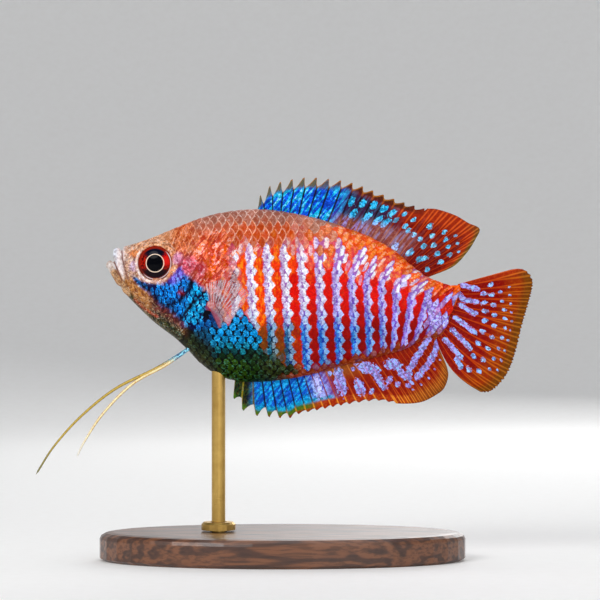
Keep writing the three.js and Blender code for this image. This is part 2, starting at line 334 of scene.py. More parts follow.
# %% [markdown]
# The body is described by sections, as a boat is: at thirteen places from snout to tail stalk we
# know the height of the back, the height of the belly, and half the width. Smooth curves join
# them, and any point of the surface follows from how far along it is and how far round. The two
# ends are rounded off, and the rear sections lean back, as the tail stalk does.

# %% The body's form
SECTIONS = (  # place along X, back, belly, half width, all in millimetres
    (-27.6, 54.95, 46.6, 2.25),
    (-25.0, 55.7, 43.95, 3.1),
    (-22.5, 56.6, 41.6, 3.75),
    (-18.0, 58.45, 38.1, 4.6),
    (-13.5, 60.15, 33.7, 5.2),
    (-9.0, 61.1, 31.5, 5.5),
    (-3.0, 61.36, 31.2, 5.5),
    (4.0, 60.3, 32.2, 5.1),
    (11.0, 58.3, 34.1, 4.3),
    (18.0, 55.1, 35.8, 3.2),
    (23.0, 50.1, 36.8, 2.3),
    (27.0, 48.3, 38.7, 1.4),
    (29.4, 48.2, 38.9, 0.7),
)
NOSE, TAIL = SECTIONS[0][0], SECTIONS[-1][0]
NOSE_CAP, TAIL_CAP = 1.0, 0.6
WIDEST = 0.52
PINCH_ABOVE, PINCH_BELOW = 1.1, 1.15
LEAN_FROM, LEAN_TO, LEAN_MOST = 16, 28, 0.4


def soft(value, start, end):
    """0 at start and 1 at end, with a soft step between."""
    share = np.clip((value - start) / (end - start), 0, 1)
    return share * share * (3 - 2 * share)


def smooth_curve(points):
    """A curve through (place, value) points; each slope is taken from its neighbours."""
    places, values = np.array(points, float).T
    slopes = np.empty_like(values)
    slopes[1:-1] = (values[2:] - values[:-2]) / (places[2:] - places[:-2])
    slopes[0] = (values[1] - values[0]) / (places[1] - places[0])
    slopes[-1] = (values[-1] - values[-2]) / (places[-1] - places[-2])

    def at(place):
        place = np.clip(place, places[0], places[-1])
        left = np.clip(np.searchsorted(places, place, side="right") - 1, 0, len(places) - 2)
        gap = places[left + 1] - places[left]
        t = (place - places[left]) / gap
        return (
            values[left] * (1 + 2 * t) * (1 - t) ** 2
            + slopes[left] * gap * t * (1 - t) ** 2
            + values[left + 1] * t * t * (3 - 2 * t)
            + slopes[left + 1] * gap * t * t * (t - 1)
        )

    return at


def curves_of(table):
    """A curve for each column of a table after the first, which holds the places."""
    return [smooth_curve([(row[0], row[n]) for row in table]) for n in range(1, len(table[0]))]


back_at, belly_at, half_at = curves_of(SECTIONS)


def section_parts(along):
    """The middle level, how far the section reaches up and down from it, and its half width."""
    near = np.clip(along, NOSE, TAIL)
    past = np.clip((NOSE - along) / NOSE_CAP, 0, 1) + np.clip((along - TAIL) / TAIL_CAP, 0, 1)
    close = np.sqrt(np.clip(1 - past**2, 0, 1))
    back, belly = back_at(near), belly_at(near)
    middle = belly + WIDEST * (back - belly)
    return middle, (back - middle) * close, (middle - belly) * close, half_at(near) * close


def body_point(along, turn):
    """A point of the body's surface. turn is 0 at the widest level of the right side, up to 90
    degrees on the back and past that down the left side."""
    middle, up, down, half = section_parts(along)
    rise, out = np.sin(turn), np.cos(turn)
    height = rise * np.where(rise > 0, up, down)
    pinch = np.where(rise > 0, PINCH_ABOVE, PINCH_BELOW)
    lean = LEAN_MOST * soft(along, LEAN_FROM, LEAN_TO)
    across = np.sign(out) * np.abs(out) ** pinch * half
    return np.stack([along + lean * height, across, middle + height], -1)


print("the body is", round(TAIL - NOSE, 1), "mm long without lips and fins")

# %% [markdown]
# The scales will ask for a point by its distance round the flank, as a tape measure gives it.
# Equal turns are not equal lengths on an oval, so that distance is worked out once for many
# sections and kept in a table, and a point is looked up between its nearest entries.

# %% Distance round the flank
STATIONS = np.linspace(NOSE - 0.8 * NOSE_CAP, TAIL + 0.8 * TAIL_CAP, 240)
SHARES = np.linspace(0, 1, 121)


def girth_table(towards):
    """For each station, the length from the widest level to the ridge on the back (towards 1) or
    belly (-1), and the turn at which each share of that length is reached."""
    turns = np.linspace(0, math.pi / 2, 400)
    points = body_point(STATIONS[:, None], towards * turns[None, :])
    steps = np.linalg.norm(np.diff(points, axis=1), axis=-1)
    run = np.concatenate([np.zeros((len(STATIONS), 1)), np.cumsum(steps, 1)], 1)
    turn = [np.interp(SHARES, row / row[-1], turns) for row in run]
    return run[:, -1], np.array(turn)


GIRTH = {1: girth_table(1), -1: girth_table(-1)}


def flank_point(along, arc, side):
    """The point that lies arc millimetres above (or below) the widest level, measured round the flank.
    Past the ridge it carries on down the other side. side is -1 on the fish's left."""
    found = {}
    for towards in (1, -1):
        length, turn = GIRTH[towards]
        share = np.abs(arc) / np.interp(along, STATIONS, length)
        folded = np.clip(np.where(share > 1, 2 - share, share), 0, 1)
        row = np.clip(np.interp(along, STATIONS, np.arange(len(STATIONS))), 0, len(STATIONS) - 1.001)
        column = np.clip(folded * (len(SHARES) - 1), 0, len(SHARES) - 1.001)
        i, j = row.astype(int), column.astype(int)
        s, t = row - i, column - j
        value = (turn[i, j] * (1 - s) + turn[i + 1, j] * s) * (1 - t)
        value += (turn[i, j + 1] * (1 - s) + turn[i + 1, j + 1] * s) * t
        found[towards] = towards * np.where(share > 1, math.pi - value, value)
    point = body_point(along, np.where(arc > 0, found[1], found[-1]))
    return point * [1, side, 1]


def unit(vectors):
    return vectors / (np.linalg.norm(vectors, axis=-1, keepdims=True) + 1e-12)


def flank_normal(along, arc, side):
    step = 0.05
    ahead = flank_point(along + step, arc, side) - flank_point(along - step, arc, side)
    over = flank_point(along, arc + step, side) - flank_point(along, arc - step, side)
    return unit(np.cross(ahead, over)) * -side


print("girth at the deepest place", round(2 * float(GIRTH[1][0].max() + GIRTH[-1][0].max()), 1), "mm")

# %% [markdown]
# Scales grow in slanting rows. Two numbers place any point in that pattern: its column, counted
# along the fish, and its row, counted round it. Columns are widest on the flank and narrower on
# the cheek and the tail stalk, they lean a little, and the rear ones sweep back as they climb.
# Every second column carries a red bar, so the same two numbers also place the bars. The scales'
# free ends are curved, and both the plates and their finish ask for that curve.

# %% Rows and columns of scales
COLUMN_AT = ((-20, -23.6), (-12, -17.2), (-8, -12.6), (0, -0.9), (6, 7.9), (10, 13.4), (18, 23.4), (24, 30.4))
ROW_AT = ((-20, -21.5), (-12, -13.6), (-6, -7.2), (0, 0), (6, 7.4), (12, 16.2), (18, 26.0))
BAR_LEAN = -0.055
SWEEP, SWEEP_START, SWEEP_EASE = 0.72, 1.8, 2.2
EDGE_DEPTH, EDGE_CURVE = 0.5, 1.7

along_of_column = smooth_curve(COLUMN_AT)
column_of_along = smooth_curve([(place, column) for column, place in COLUMN_AT])
arc_of_row = smooth_curve(ROW_AT)
row_of_arc = smooth_curve([(arc, row) for row, arc in ROW_AT])


def lean_of_column(arc, rear):
    """How far a column has leaned at this height; the rear ones sweep back as they climb."""
    climb = np.clip(arc - SWEEP_START, 0, None)
    return BAR_LEAN * arc + SWEEP * rear * climb**2 / (climb + SWEEP_EASE)


def lattice_point(column, row):
    """How far along and how far round the flank a place in the scale pattern lies."""
    arc = arc_of_row(row)
    return along_of_column(column) + lean_of_column(arc, soft(column, 3, 12)), arc


def on_flank(column, row, side):
    along, arc = lattice_point(column, row)
    along = np.clip(along, STATIONS[0], STATIONS[-1])
    return flank_point(along, arc, side), flank_normal(along, arc, side)


print("columns from", COLUMN_AT[0][0], "to", COLUMN_AT[-1][0])

# %% [markdown]
# Where things lie on the head is settled once, as simple shapes seen from the side: an oval for
# the gill cover, a ring for the eye, short lines for the folds. Paint, relief and scales all ask
# these same functions, so a blue cheek, its raised edge and its scales can't drift apart.

# %% Landmarks of the head
EYE = {"x": -22.1, "y": 2.9, "z": 51.9, "radius": 3.3, "depth": 1.65, "turned": 0.2}
LID = 3.05
GILL = {"x": -16.5, "z": 45.6, "long": 4.9, "wide": 3.9, "tilt": 0.22}
NOSTRIL = (-25.8, 53.5)
CHEEK_TOP = ((-26.2, 50.0), (-24.6, 48.9), (-22.7, 48.4), (-20.3, 48.7), (-18.9, 50.0), (-17.8, 51.2),
             (-16.9, 50.0), (-14.8, 48.5), (-12.8, 46.6))
CHEEK_LOW = ((-26.2, 49.3), (-24.9, 47.9), (-22.8, 46.3), (-21.4, 44.7), (-19.2, 43.3), (-17.6, 41.8),
             (-16.0, 40.4))
SCALES_START = ((34, -19.5), (38, -17.4), (40.4, -16.0), (44, -13.4), (48.4, -16.5), (51, -18.3),
                (54, -19.0), (58.5, -20.8))
COVER_FOLD = ((-13.4, 47.0), (-15.2, 45.3), (-16.8, 43.4), (-17.7, 41.9))
CHEEK_FOLD = ((-15.6, 49.6), (-16.2, 47.2), (-17.9, 45.4), (-20.2, 44.4))
THROAT_FOLD = ((-26.4, 46.6), (-24.2, 44.2), (-21.4, 42.2), (-18.2, 40.5), (-15.4, 39.6))
THROAT_STREAK = ((-25.8, 45.6), (-24.0, 43.9), (-21.8, 42.6))
JAW_LINE = ((-29.2, 49.9), (-28.3, 48.2), (-27.6, 46.8))
LIP_FOLDS = (
    ((-29.8, 52.8), (-29.2, 51.8), (-28.6, 50.4), (-28.0, 48.9)),
    ((-28.15, 54.6), (-27.9, 52.6), (-27.45, 50.8), (-26.9, 49.2)),
)
JAW_FOLD = ((-27.2, 49.0), (-25.9, 48.4), (-24.4, 46.9))

cheek_top, cheek_low = smooth_curve(CHEEK_TOP), smooth_curve(CHEEK_LOW)
scales_start = smooth_curve(SCALES_START)


def gill_oval(x, z):
    """How far out in the gill cover's oval a point lies (1 at its edge), and how far back."""
    dx, dz = x - GILL["x"], z - GILL["z"]
    wide = dx * math.cos(GILL["tilt"]) - dz * math.sin(GILL["tilt"])
    long = dx * math.sin(GILL["tilt"]) + dz * math.cos(GILL["tilt"])
    return np.hypot(wide / GILL["wide"], long / GILL["long"]), wide


def from_eye(x, z):
    return np.hypot(x - EYE["x"], z - EYE["z"])


def from_line(x, z, line):
    """The distance in millimetres from a bent line."""
    nearest = np.full(np.shape(x), 1e3)
    for (x0, z0), (x1, z1) in zip(line, line[1:]):
        dx, dz = x1 - x0, z1 - z0
        t = np.clip(((x - x0) * dx + (z - z0) * dz) / (dx * dx + dz * dz), 0, 1)
        nearest = np.minimum(nearest, np.hypot(x - x0 - t * dx, z - z0 - t * dz))
    return nearest


def cheek_mask(x, z):
    out, _ = gill_oval(x, z)
    under = soft(cheek_top(x) - z, -0.25, 0.35) * soft(z - cheek_low(x), -0.3, 0.4)
    front = soft(x, -26.4, -25.4) * soft(-12.6 - x, -0.3, 0.3)
    cover = soft(out, 1.03, 0.97) * soft(cheek_top(x) - z, -0.4, 0.4) * soft(x, -18.0, -16.0)
    return np.maximum(under * front * soft(x, -10, -17), cover)


def scaly(x, z):
    """1 where the skin is clothed in scales, 0 where it is bare."""
    behind = soft(x - scales_start(z), -0.4, 0.6)
    return np.maximum(behind, cheek_mask(x, z)) * soft(from_eye(x, z), 3.5, 4.1)


print("eye across", 2 * LID, "mm")

# %% [markdown]
# Paint is mixed for a point at a time. Every point gets three tones: a dark and a light one, which
# the finish sets inside each scale, and the tone of the bars. Three levels go with them: how
# strong the bars are, whether the light tone edges the scale or fills it, and how much it glints:
# painted glints in its colour, and on the scales a little metal too.
# Regions are laid over each other with soft edges, from the flank outwards to back, head and belly.

# %% Mixing the paint
TONES = ("dark", "light", "band")
LEVELS = ("edged", "shine", "bars")


class Paint:
    """Tones and levels for a set of points."""

    def __init__(self, count, dark, light, band, edged=0.0, shine=1.0, bars=0.0):
        self.tone = {name: np.tile(chip(code), (count, 1)) for name, code in zip(TONES, (dark, light, band))}
        self.level = {name: np.full(count, float(value)) for name, value in zip(LEVELS, (edged, shine, bars))}

    def lay(self, mask, **changes):
        """Lays new tones (paint chips) and levels (numbers) where the mask says."""
        for name, value in changes.items():
            if name in self.tone:
                self.tone[name] += mask[:, None] * (chip(value) - self.tone[name])
            else:
                self.level[name] += mask * (value - self.level[name])

    def put_on(self, mesh):
        """Stores each tone as a colour attribute, with one level as its fourth value."""
        for tone, level in zip(TONES, LEVELS):
            values = np.column_stack([self.tone[tone], self.level[level]]).astype(np.float32)
            layer = mesh.color_attributes.new(tone, "FLOAT_COLOR", "POINT")
            layer.data.foreach_set("color", values.ravel())


def spot(x, z, centre, size, turn=0.0, edge=0.35):
    """A soft oval patch; size is its two half widths and turn its slope in degrees."""
    dx, dz = x - centre[0], z - centre[1]
    slope = math.radians(turn)
    along = dx * math.cos(slope) + dz * math.sin(slope)
    across = dz * math.cos(slope) - dx * math.sin(slope)
    return soft(np.hypot(along / size[0], across / size[1]), 1 + edge, 1 - edge)


print("paint in", len(TONES), "tones")

# %% [markdown]
# The flank is violet and blue between red bars, which turn orange higher up. Along the back it is
# orange and brown, low in front it sinks into dark blue, and high at the rear white dashes lie
# over the bars. Where these regions meet is drawn as curves, and each region is one layer of paint.

# %% Paint of the flank
BACK_EDGE = ((-14, 53.0), (-11.8, 54.3), (-7.4, 55.3), (-0.4, 55.6), (4.8, 55.0), (10.1, 53.4), (15.3, 51.5),
             (20.6, 49.4), (25.8, 47.9), (30, 47.6))
BELLY_EDGE = ((-18, 41.5), (-12, 42.2), (-10, 42.6), (-8.0, 43.4), (-6.0, 42.8), (-5.0, 41.0), (-4.6, 38.8),
              (-3.9, 37.3), (-2.0, 36.4), (0.4, 34.6), (4, 33.2), (8, 33.4))
DASH_TOP = ((-2, 55.6), (6.4, 55.0), (10, 54.3), (14.7, 53.4), (17.5, 53.2), (20.1, 52.0), (22.7, 50.2),
            (26, 48.0), (30, 47.4))
DASH_FOOT = ((2, 52.8), (7.4, 51.3), (13.1, 49.9), (18.2, 48.6), (24, 46.6), (30, 46.0))
back_edge, belly_edge = smooth_curve(BACK_EDGE), smooth_curve(BELLY_EDGE)
dash_top, dash_foot = smooth_curve(DASH_TOP), smooth_curve(DASH_FOOT)


def flank_paint(x, z):
    over_back = z - back_edge(x)
    rear = soft(x, 7, 13)
    coat = Paint(len(x), "A05CB4", "F4F6FF", "DA0C02", bars=1)
    coat.lay(soft(x, 1, 12), dark="7244BC", light="C4B2F8")
    coat.lay(soft(z, 45.5, 39) * soft(x, -8, 0), dark="1C40C0", light="40A8FC")
    coat.lay(soft(x, 14, 22), dark="7C4CC8", light="B49EF6")
    coat.lay(np.maximum(soft(z, 48.5, 53.5) * (1 - rear), soft(x, 1, -4)), band="EE4604")
    coat.lay(soft(z, 46.5, 40) * soft(x, 0, 8), band="8E0402")
    coat.lay(soft(z, 43.0, 39.5) * soft(x, 6, -1), band="7A3404", dark="10284C", light="3488BC")
    coat.lay(soft(z, 38.8, 36.0) * soft(x, 3, -2), band="4E4010", dark="141E18", light="44686C")
    coat.lay(soft(x, -9, -12), bars=0.3)
    coat.lay(soft(over_back, -2.0, 0.2), dark="BC400A", light="F0A078", band="D24808",
             edged=1, shine=0.35, bars=0.5)
    coat.lay(soft(over_back, 0.6, 2.4), bars=0)
    coat.lay(soft(z - back_at(x), -4.0, -0.8), dark="A05844", light="D8A898")
    dashed = soft(x, 2, 6) * soft(z - dash_foot(x), -0.6, 0.6)
    coat.lay(dashed, dark="A864C4", light="F8F6FF", band="F24604", edged=0.5, shine=0.7, bars=0.92)
    above = soft(x, 1, 5) * soft(z - dash_top(x), -0.5, 0.6)
    coat.lay(above, dark="D04C0A", light="EC7A2C", shine=0.4, bars=0)
    coat.lay(above * soft(z - back_at(x), -3.2, -1.2), dark="B4684E", light="E4B09C", edged=0.9)
    coat.lay(above * rear, dark="EE4800", light="FF8830", edged=0.4)
    return coat


print("the back's orange starts at", back_edge(0).round(1), "mm amidships")

# %% [markdown]
# The head is orange and tan above and has pale lips. Cheek and gill cover are an electric blue,
# crossed by folds darkened with painted shade, and the breast behind them is nearly black, with a
# painted shadow under the gill cover's edge. These places are small and crisp, so they are ovals,
# and strips along the lines of the landmarks.

# %% Paint of the head
def lay_head(coat, x, z):
    cheek = cheek_mask(x, z)
    out, back = gill_oval(x, z)
    coat.lay(spot(x, z, (-12.6, 52.0), (5.2, 4.0), 70), dark="B82404", light="FC6814",
             edged=0.4, shine=0.9, bars=0.25)
    coat.lay(spot(x, z, (-15.4, 50.2), (2.2, 1.5), 40), dark="A82434", light="E47C9C")
    coat.lay(spot(x, z, (-9.8, 46.4), (4.2, 2.4), 70), dark="7C3038", light="C88484", shine=0.9, bars=0.5)
    above_cheek = soft(z, 47.5, 49.5)
    coat.lay(soft(x, -13.5, -17) * above_cheek, dark="AC3A10", light="FC9458", edged=0.8, shine=0.35, bars=0)
    coat.lay(soft(x, -17.5, -20.5) * above_cheek, dark="A4582C", light="FFB482")
    coat.lay(spot(x, z, (-16.4, 51.4), (2.1, 1.5), 60), dark="941828", light="DC5068", edged=0.4, shine=0.8)
    coat.lay(spot(x, z, (-18.2, 52.7), (1.1, 0.8), 70), dark="B8507C", light="F0A4C8", edged=0.4)
    coat.lay(soft(x + 0.5 * (z - 52), -23.2, -25.4), dark="94604C", light="DCAC94")
    coat.lay(spot(x, z, (-25.8, 53.6), (1.0, 0.7), 0), dark="A8481C", light="F0904C")
    coat.lay(spot(x, z, (-25.9, 51.4), (0.8, 0.9), 0), dark="A87C94", light="D8B4D0")
    breast = soft(x, -11.5, -13.0) * soft(z, 43.5, 42.0) * soft(out, 0.97, 1.03)
    coat.lay(breast, dark="010204", light="0C4C74", bars=0, edged=0, shine=0.8)
    coat.lay(breast * soft(z - belly_at(x), 5.5, 3.5), dark="060604", light="24341C")
    # A painted shadow: a dark patch of bare skin behind the gill cover's lower edge, at the side fin's root.
    coat.lay(spot(x, z, (-12.4, 42.2), (1.3, 1.7), 20), dark="010310", light="062C6C", bars=0, shine=0.9)
    throat = soft(z - cheek_low(x), 0.6, -0.4) * soft(x, -16.0, -18.5)
    coat.lay(throat, dark="7A3C18", light="C4803C", bars=0, edged=0.7, shine=0.2)
    coat.lay(throat * soft(x, -24, -22), dark="2C0C0E", light="74302A")
    under = soft(z - belly_at(x), 3.4, 1.4) * soft(x, -25, -20) * soft(x, -9, -13)
    coat.lay(under, dark="080804", light="343C14", edged=0.1, shine=0.8)
    coat.lay(soft(z - belly_at(x), 1.8, 0.8) * soft(x, -10, -14), dark="141206", light="3C3814")
    coat.lay(soft(from_line(x, z, THROAT_STREAK), 0.45, 0.0) * 0.8, dark="8C2810", light="C04824")
    lips = soft(x, -27.3, -27.9) * soft(z, 48.2, 49.0)
    coat.lay(lips, dark="D8C0BC", light="F8ECEA", edged=0.1, shine=0.15)
    coat.lay(soft(x, -28.5, -29.2) * soft(z, 48.6, 49.4), dark="A8A2AC", light="E6EAF4")
    coat.lay(soft(x, -28.9, -29.6) * soft(z, 53.2, 52.6), dark="A88C7C", light="E0D4CC")
    coat.lay(soft(from_line(x, z, JAW_LINE), 1.3, 0.7), dark="8C5C38", light="CC9866", edged=0.8)
    for fold in LIP_FOLDS:
        # Painted shade: the lips' creases, also pressed in as grooves, are darkened where shade falls in
        # them.
        painted_crease_shade = soft(from_line(x, z, fold), 0.22, 0.06) * soft(z, 54.4, 54.0)
        coat.lay(painted_crease_shade, dark="6C4038", light="8C5848", edged=0)
    lid_edge = soft(np.abs(from_eye(x, z) - EYE["radius"]), 0.3, 0.1) * soft(x + z, 30.2, 28.2)
    coat.lay(lid_edge, dark="E8B8A4", light="FFF0E8", edged=0)
    coat.lay(cheek, dark="010A48", light="048CFF", bars=0, edged=0, shine=1)
    coat.lay(cheek * soft(back, -1.0, 1.2) * soft(out, 1.05, 0.9), light="00B4FF")
    coat.lay(cheek * soft(z - cheek_low(x), 2.0, 0.3) * soft(x, -15, -19), dark="02061C", light="0A4888")
    coat.lay(cheek * spot(x, z, (-18.4, 50.0), (1.9, 1.2), 50), dark="4A2CA0", light="8C78F0")
    # Painted shade along the cheek's folds, which are also pressed in as grooves: dark where shade falls in
    # them.
    for fold in (CHEEK_FOLD, COVER_FOLD):
        coat.lay(cheek * soft(from_line(x, z, fold), 0.5, 0.24), dark="010410", light="020C34")
    coat.lay(spot(x, z, (-17.6, 46.8), (0.56, 0.54)), dark="5A0206", light="A00408", shine=0.2)


print("folds painted:", len(LIP_FOLDS) + 2)

# %% [markdown]
# Blue scales run on along the belly, and turn green and then brown towards its edge. The tail
# stalk is violet again, with red spots where the tail fin starts. Last, all the layers are laid
# over each other, with outlines that waver a little, as grown ones do.

# %% Paint of belly and tail stalk
def lay_belly(coat, x, z):
    under = soft(z - belly_edge(x), 0.5, -0.5) * soft(x, -17.5, -15.5)
    out, _ = gill_oval(x, z)
    coat.lay(under, dark="010414", light="00A4FF", bars=0, edged=0, shine=1)
    coat.lay(under * soft(z, 39.6, 37.0), dark="010C12", light="04849C")
    coat.lay(under * soft(z, 37.6, 35.8), dark="010401", light="0A3018")
    coat.lay(under * soft(z, 36.0, 34.0) * soft(x, -2, -8), light="345806")
    coat.lay(under * soft(x, -5, -2) * soft(z, 36.6, 35.2), dark="100C06", light="3C4A1C")
    coat.lay(under * soft(x, -11.8, -13.4) * soft(out, 0.98, 1.06), dark="020406", light="0C4C74", shine=0.8)
    fin_root = soft(z - belly_at(x), 1.7, 0.6) * soft(x, -2, 3)
    coat.lay(fin_root, dark="8C2404", light="AC4818", edged=0.2, shine=0.5, bars=0)


STALK_SPOTS = (  # centre, half length and width, slope in degrees
    ((27.7, 46.5), (1.3, 1.7), 60), ((29.3, 43.8), (0.9, 1.9), 80), ((27.2, 43.6), (0.5, 1.0), 70),
)


def lay_stalk(coat, x, z):
    stalk = soft(x, 24.6, 26.2)
    coat.lay(stalk, dark="8458D0", light="C0AEF8", bars=0)
    coat.lay(stalk * soft(z - back_edge(x), -0.9, 0.1), dark="DC4604", light="F86C18")
    for centre, size, turn in STALK_SPOTS:
        coat.lay(spot(x, z, centre, size, turn, 0.12), dark="B00C02", light="D82406", shine=0.2)
    coat.lay(stalk * soft(z - belly_at(x), 1.6, 0.6), dark="8A2A0C", light="B8501C")


WAVES_ALONG = ((0.22, 1.3, 2.9), (0.12, -2.2, 6.1))  # height, and how fast it runs along X and along Z
WAVES_UP = ((0.22, 3.1, -0.9), (0.12, 5.7, 2.6))


def waver(x, z, waves):
    return sum(height * np.sin(run_z * z + run_x * x) for height, run_x, run_z in waves)


def body_paint(x, z):
    """Paint for points of the body seen from the side. The outlines waver, but not on the head."""
    wavy = x + waver(x, z, WAVES_ALONG), z + waver(x, z, WAVES_UP)
    coat = flank_paint(*wavy)
    lay_belly(coat, *wavy)
    lay_stalk(coat, *wavy)
    lay_head(coat, x, z)
    return coat


print("a point on the flank has a tone of", body_paint(np.zeros(1), np.full(1, 45)).tone["band"].round(3))

# %% [markdown]
# The skin is one closed surface from lips to tail stalk. Two ways offer themselves: to model the
# head by hand and join it on, or to drop all the soft masses into each other and let a voxel
# remesh wrap one surface round them, as a sculptor adds clay. The second leaves no seam, so the
# body's form, the rolled lips and the chin are simply overlapped here.

# %% Masses of the body and jaws
UPPER_LIP = ((-28.9, 0, 53.9), (-28.8, 1.2, 52.6), (-28.4, 1.8, 51.1), (-27.9, 2.15, 49.7),
             (-27.3, 2.3, 48.6))
LIP_THICK, LIP_CORNER = 0.82, 0.4
LOWER_LIP = ((-29.95, 0, 51.6), (1.0, 1.45, 0.9))
JAW = (((-29.5, 0, 51.0), (1.0, 1.4, 1.0)), ((-28.1, 0, 48.9), (1.2, 1.6, 1.1)))
VOXEL = 0.14


def vertex_array(bm):
    return np.array([vertex.co for vertex in bm.verts], float).reshape(-1, 3)


def move_vertices(bm, points):
    for vertex, point in zip(bm.verts, points):
        vertex.co = point


def add_body(bm):
    """A globe with its poles at snout and tail, drawn out to the body's form."""
    pole_to_x = Matrix.Rotation(math.radians(90), 4, "Y")
    bmesh.ops.create_uvsphere(bm, u_segments=96, v_segments=200, radius=1, matrix=pole_to_x)
    ball = vertex_array(bm)
    share = np.arccos(np.clip(-ball[:, 0], -1, 1)) / math.pi
    along = NOSE - NOSE_CAP + share * (TAIL - NOSE + NOSE_CAP + TAIL_CAP)
    move_vertices(bm, body_point(along, np.arctan2(ball[:, 2], ball[:, 1])))


def add_ball(bm, centre, size):
    place = Matrix.Translation(centre) @ Matrix.Diagonal((*size, 1))
    bmesh.ops.create_icosphere(bm, subdivisions=4, radius=1, matrix=place)


def add_lips(bm):
    x, y, z = curves_of(np.column_stack([np.linspace(0, 1, len(UPPER_LIP)), UPPER_LIP]))
    for share in np.linspace(0, 1, 29):
        radius = LIP_THICK + (LIP_CORNER - LIP_THICK) * share**2
        for side in (1, -1):
            add_ball(bm, (x(share), side * y(share), z(share)), (radius, radius, radius))
    add_ball(bm, *LOWER_LIP)
    (start, start_size), (end, end_size) = np.array(JAW)
    for share in np.linspace(0, 1, 9):
        add_ball(bm, start + share * (end - start), start_size + share * (end_size - start_size))


def finished(mesh, *modifiers):
    """The mesh with modifiers applied, each given as (kind, settings)."""
    holder = bpy.data.objects.new("holder", mesh)
    scene.collection.objects.link(holder)
    for kind, settings in modifiers:
        modifier = holder.modifiers.new(kind.lower(), kind)
        for name, value in settings.items():
            setattr(modifier, name, value)
    evaluated = holder.evaluated_get(bpy.context.evaluated_depsgraph_get())
    result = bpy.data.meshes.new_from_object(evaluated)
    bpy.data.objects.remove(holder)
    return result


def wrapped_masses():
    bm = bmesh.new()
    add_body(bm)
    add_lips(bm)
    return finished(
        mesh_from(bm, "masses"),
        ("REMESH", {"mode": "VOXEL", "voxel_size": VOXEL}),
        ("SMOOTH", {"factor": 0.5, "iterations": 4}),
    )


masses = wrapped_masses()
print("wrapped skin has", len(masses.polygons), "faces")

# %% [markdown]
# Relief comes next: each point of the wrapped skin is to be pushed in or out. The skin sinks by the
# depth of the coat wherever scales will lie. The gill cover stays proud, with a step behind it,
# folds are pressed in as grooves, and the nostril is a low crater. A sculptor's brush could press
# them in by hand, but formulas can be asked again when the scales are laid over them.

# %% Relief of the skin
COAT = 0.24
BARE_DEPTH = 0.05
COVER_RISE, COVER_STEP = 0.16, 0.26
FOLDS = (  # line, depth, width
    (COVER_FOLD, 0.13, 0.3), (CHEEK_FOLD, 0.1, 0.3), (THROAT_FOLD, 0.16, 0.4), (JAW_FOLD, 0.12, 0.3),
    *((fold, 0.2, 0.2) for fold in LIP_FOLDS),
)
CRATER_RIM, CRATER_RISE, CRATER_DEPTH = 0.55, 0.14, 0.22


def hill(away, width):
    """1 where away is 0, and softly falling off beyond the width."""
    return np.exp(-((away / width) ** 2))


def rear_of_cover(back):
    return soft(back, -2.2, 0.4)


def head_relief(x, z):
    """How far the skin stands out, in millimetres, before the coat's depth is taken off."""
    out, back = gill_oval(x, z)
    rise = COVER_RISE * soft(out, 1.04, 0.985) * rear_of_cover(back)
    rise -= COVER_STEP * soft(out, 1.55, 1.03) * soft(out, 0.99, 1.03) * rear_of_cover(back)
    for line, depth, width in FOLDS:
        rise -= depth * hill(from_line(x, z, line), width)
    away = np.hypot(x - NOSTRIL[0], z - NOSTRIL[1])
    rise += CRATER_RISE * hill(away - CRATER_RIM, 0.2) - CRATER_DEPTH * hill(away, 0.3)
    return rise


def coat_depth(x, z):
    """How far inside the body's form the skin lies: most where scales will cover it."""
    return BARE_DEPTH + (COAT - BARE_DEPTH) * scaly(x, z)


print("folds pressed in:", len(FOLDS))

# %% [markdown]
# The eye gets its socket: the skin dives behind the eyeball, leaving a small gap, and rises again
# in a lid round it. Then the whole skin is pushed to its new shape.

# %% The eye's socket
LID_PROUD, LID_WIDE = 0.86, 0.25
SOCKET_GAP, SOCKET_REACH = 0.3, 1.5


def eye_plane(x):
    """How far out the widest ring of the eyeball is; the eye looks a little forward."""
    return EYE["y"] + EYE["turned"] * (x - EYE["x"])


def eye_level(x, z):
    """How far out the eyeball's surface is, from the fish's middle plane."""
    return eye_plane(x) + EYE["depth"] * np.sqrt(np.clip(1 - (from_eye(x, z) / EYE["radius"]) ** 2, 0, 1))


def with_socket(points):
    x, y, z = points.T
    away = from_eye(x, z)
    behind = eye_level(x, z) - SOCKET_GAP
    lid = behind + (eye_plane(x) + LID_PROUD - behind) * soft(away, LID - 0.18, LID + 0.1)
    level = lid + (np.abs(y) - lid) * soft(away, LID + LID_WIDE, LID + SOCKET_REACH)
    near = (away < LID + SOCKET_REACH) & (np.abs(y) > 1.2)
    return np.column_stack([x, np.where(near, np.sign(y) * level, y), z])


def mesh_vectors(mesh, what):
    """A row for each vertex: its place (co) or its normal."""
    values = np.empty(len(mesh.vertices) * 3, np.float32)
    mesh.vertices.foreach_get(what, values)
    return values.reshape(-1, 3).astype(float)


def set_points(mesh, points):
    mesh.vertices.foreach_set("co", np.ascontiguousarray(points, np.float32).ravel())
    mesh.update()


points = mesh_vectors(masses, "co")
x, z = points[:, 0], points[:, 2]
points += mesh_vectors(masses, "normal") * (head_relief(x, z) - coat_depth(x, z))[:, None]
set_points(masses, with_socket(points))
print("coat is", COAT, "mm deep")

# %% [markdown]
# The fine voxels were needed for the folds and the lip. Now faces can go again where the skin is
# nearly flat, which a Decimate modifier does. Then the paint goes on. Each skin point also gets
# its place in the scale pattern, so that the bars run on over the skin under the scales.

# %% The finished skin
THINNED = 0.42
ROUNDING = 0.12


def piece_from(mesh, name, finish, node_names):
    """An object in metres that stands for CAD nodes and takes its finish from a slot."""
    mesh.transform(Matrix.Scale(MM, 4))
    mesh.name = name
    mesh.shade_smooth()
    piece = bpy.data.objects.new(name, mesh)
    scene.collection.objects.link(piece)
    mesh.materials.clear()
    mesh.materials.append(finish)
    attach(piece, "root")
    if node_names:
        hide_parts(*node_names)
    print(name, "has", len(mesh.polygons), "faces")
    return piece


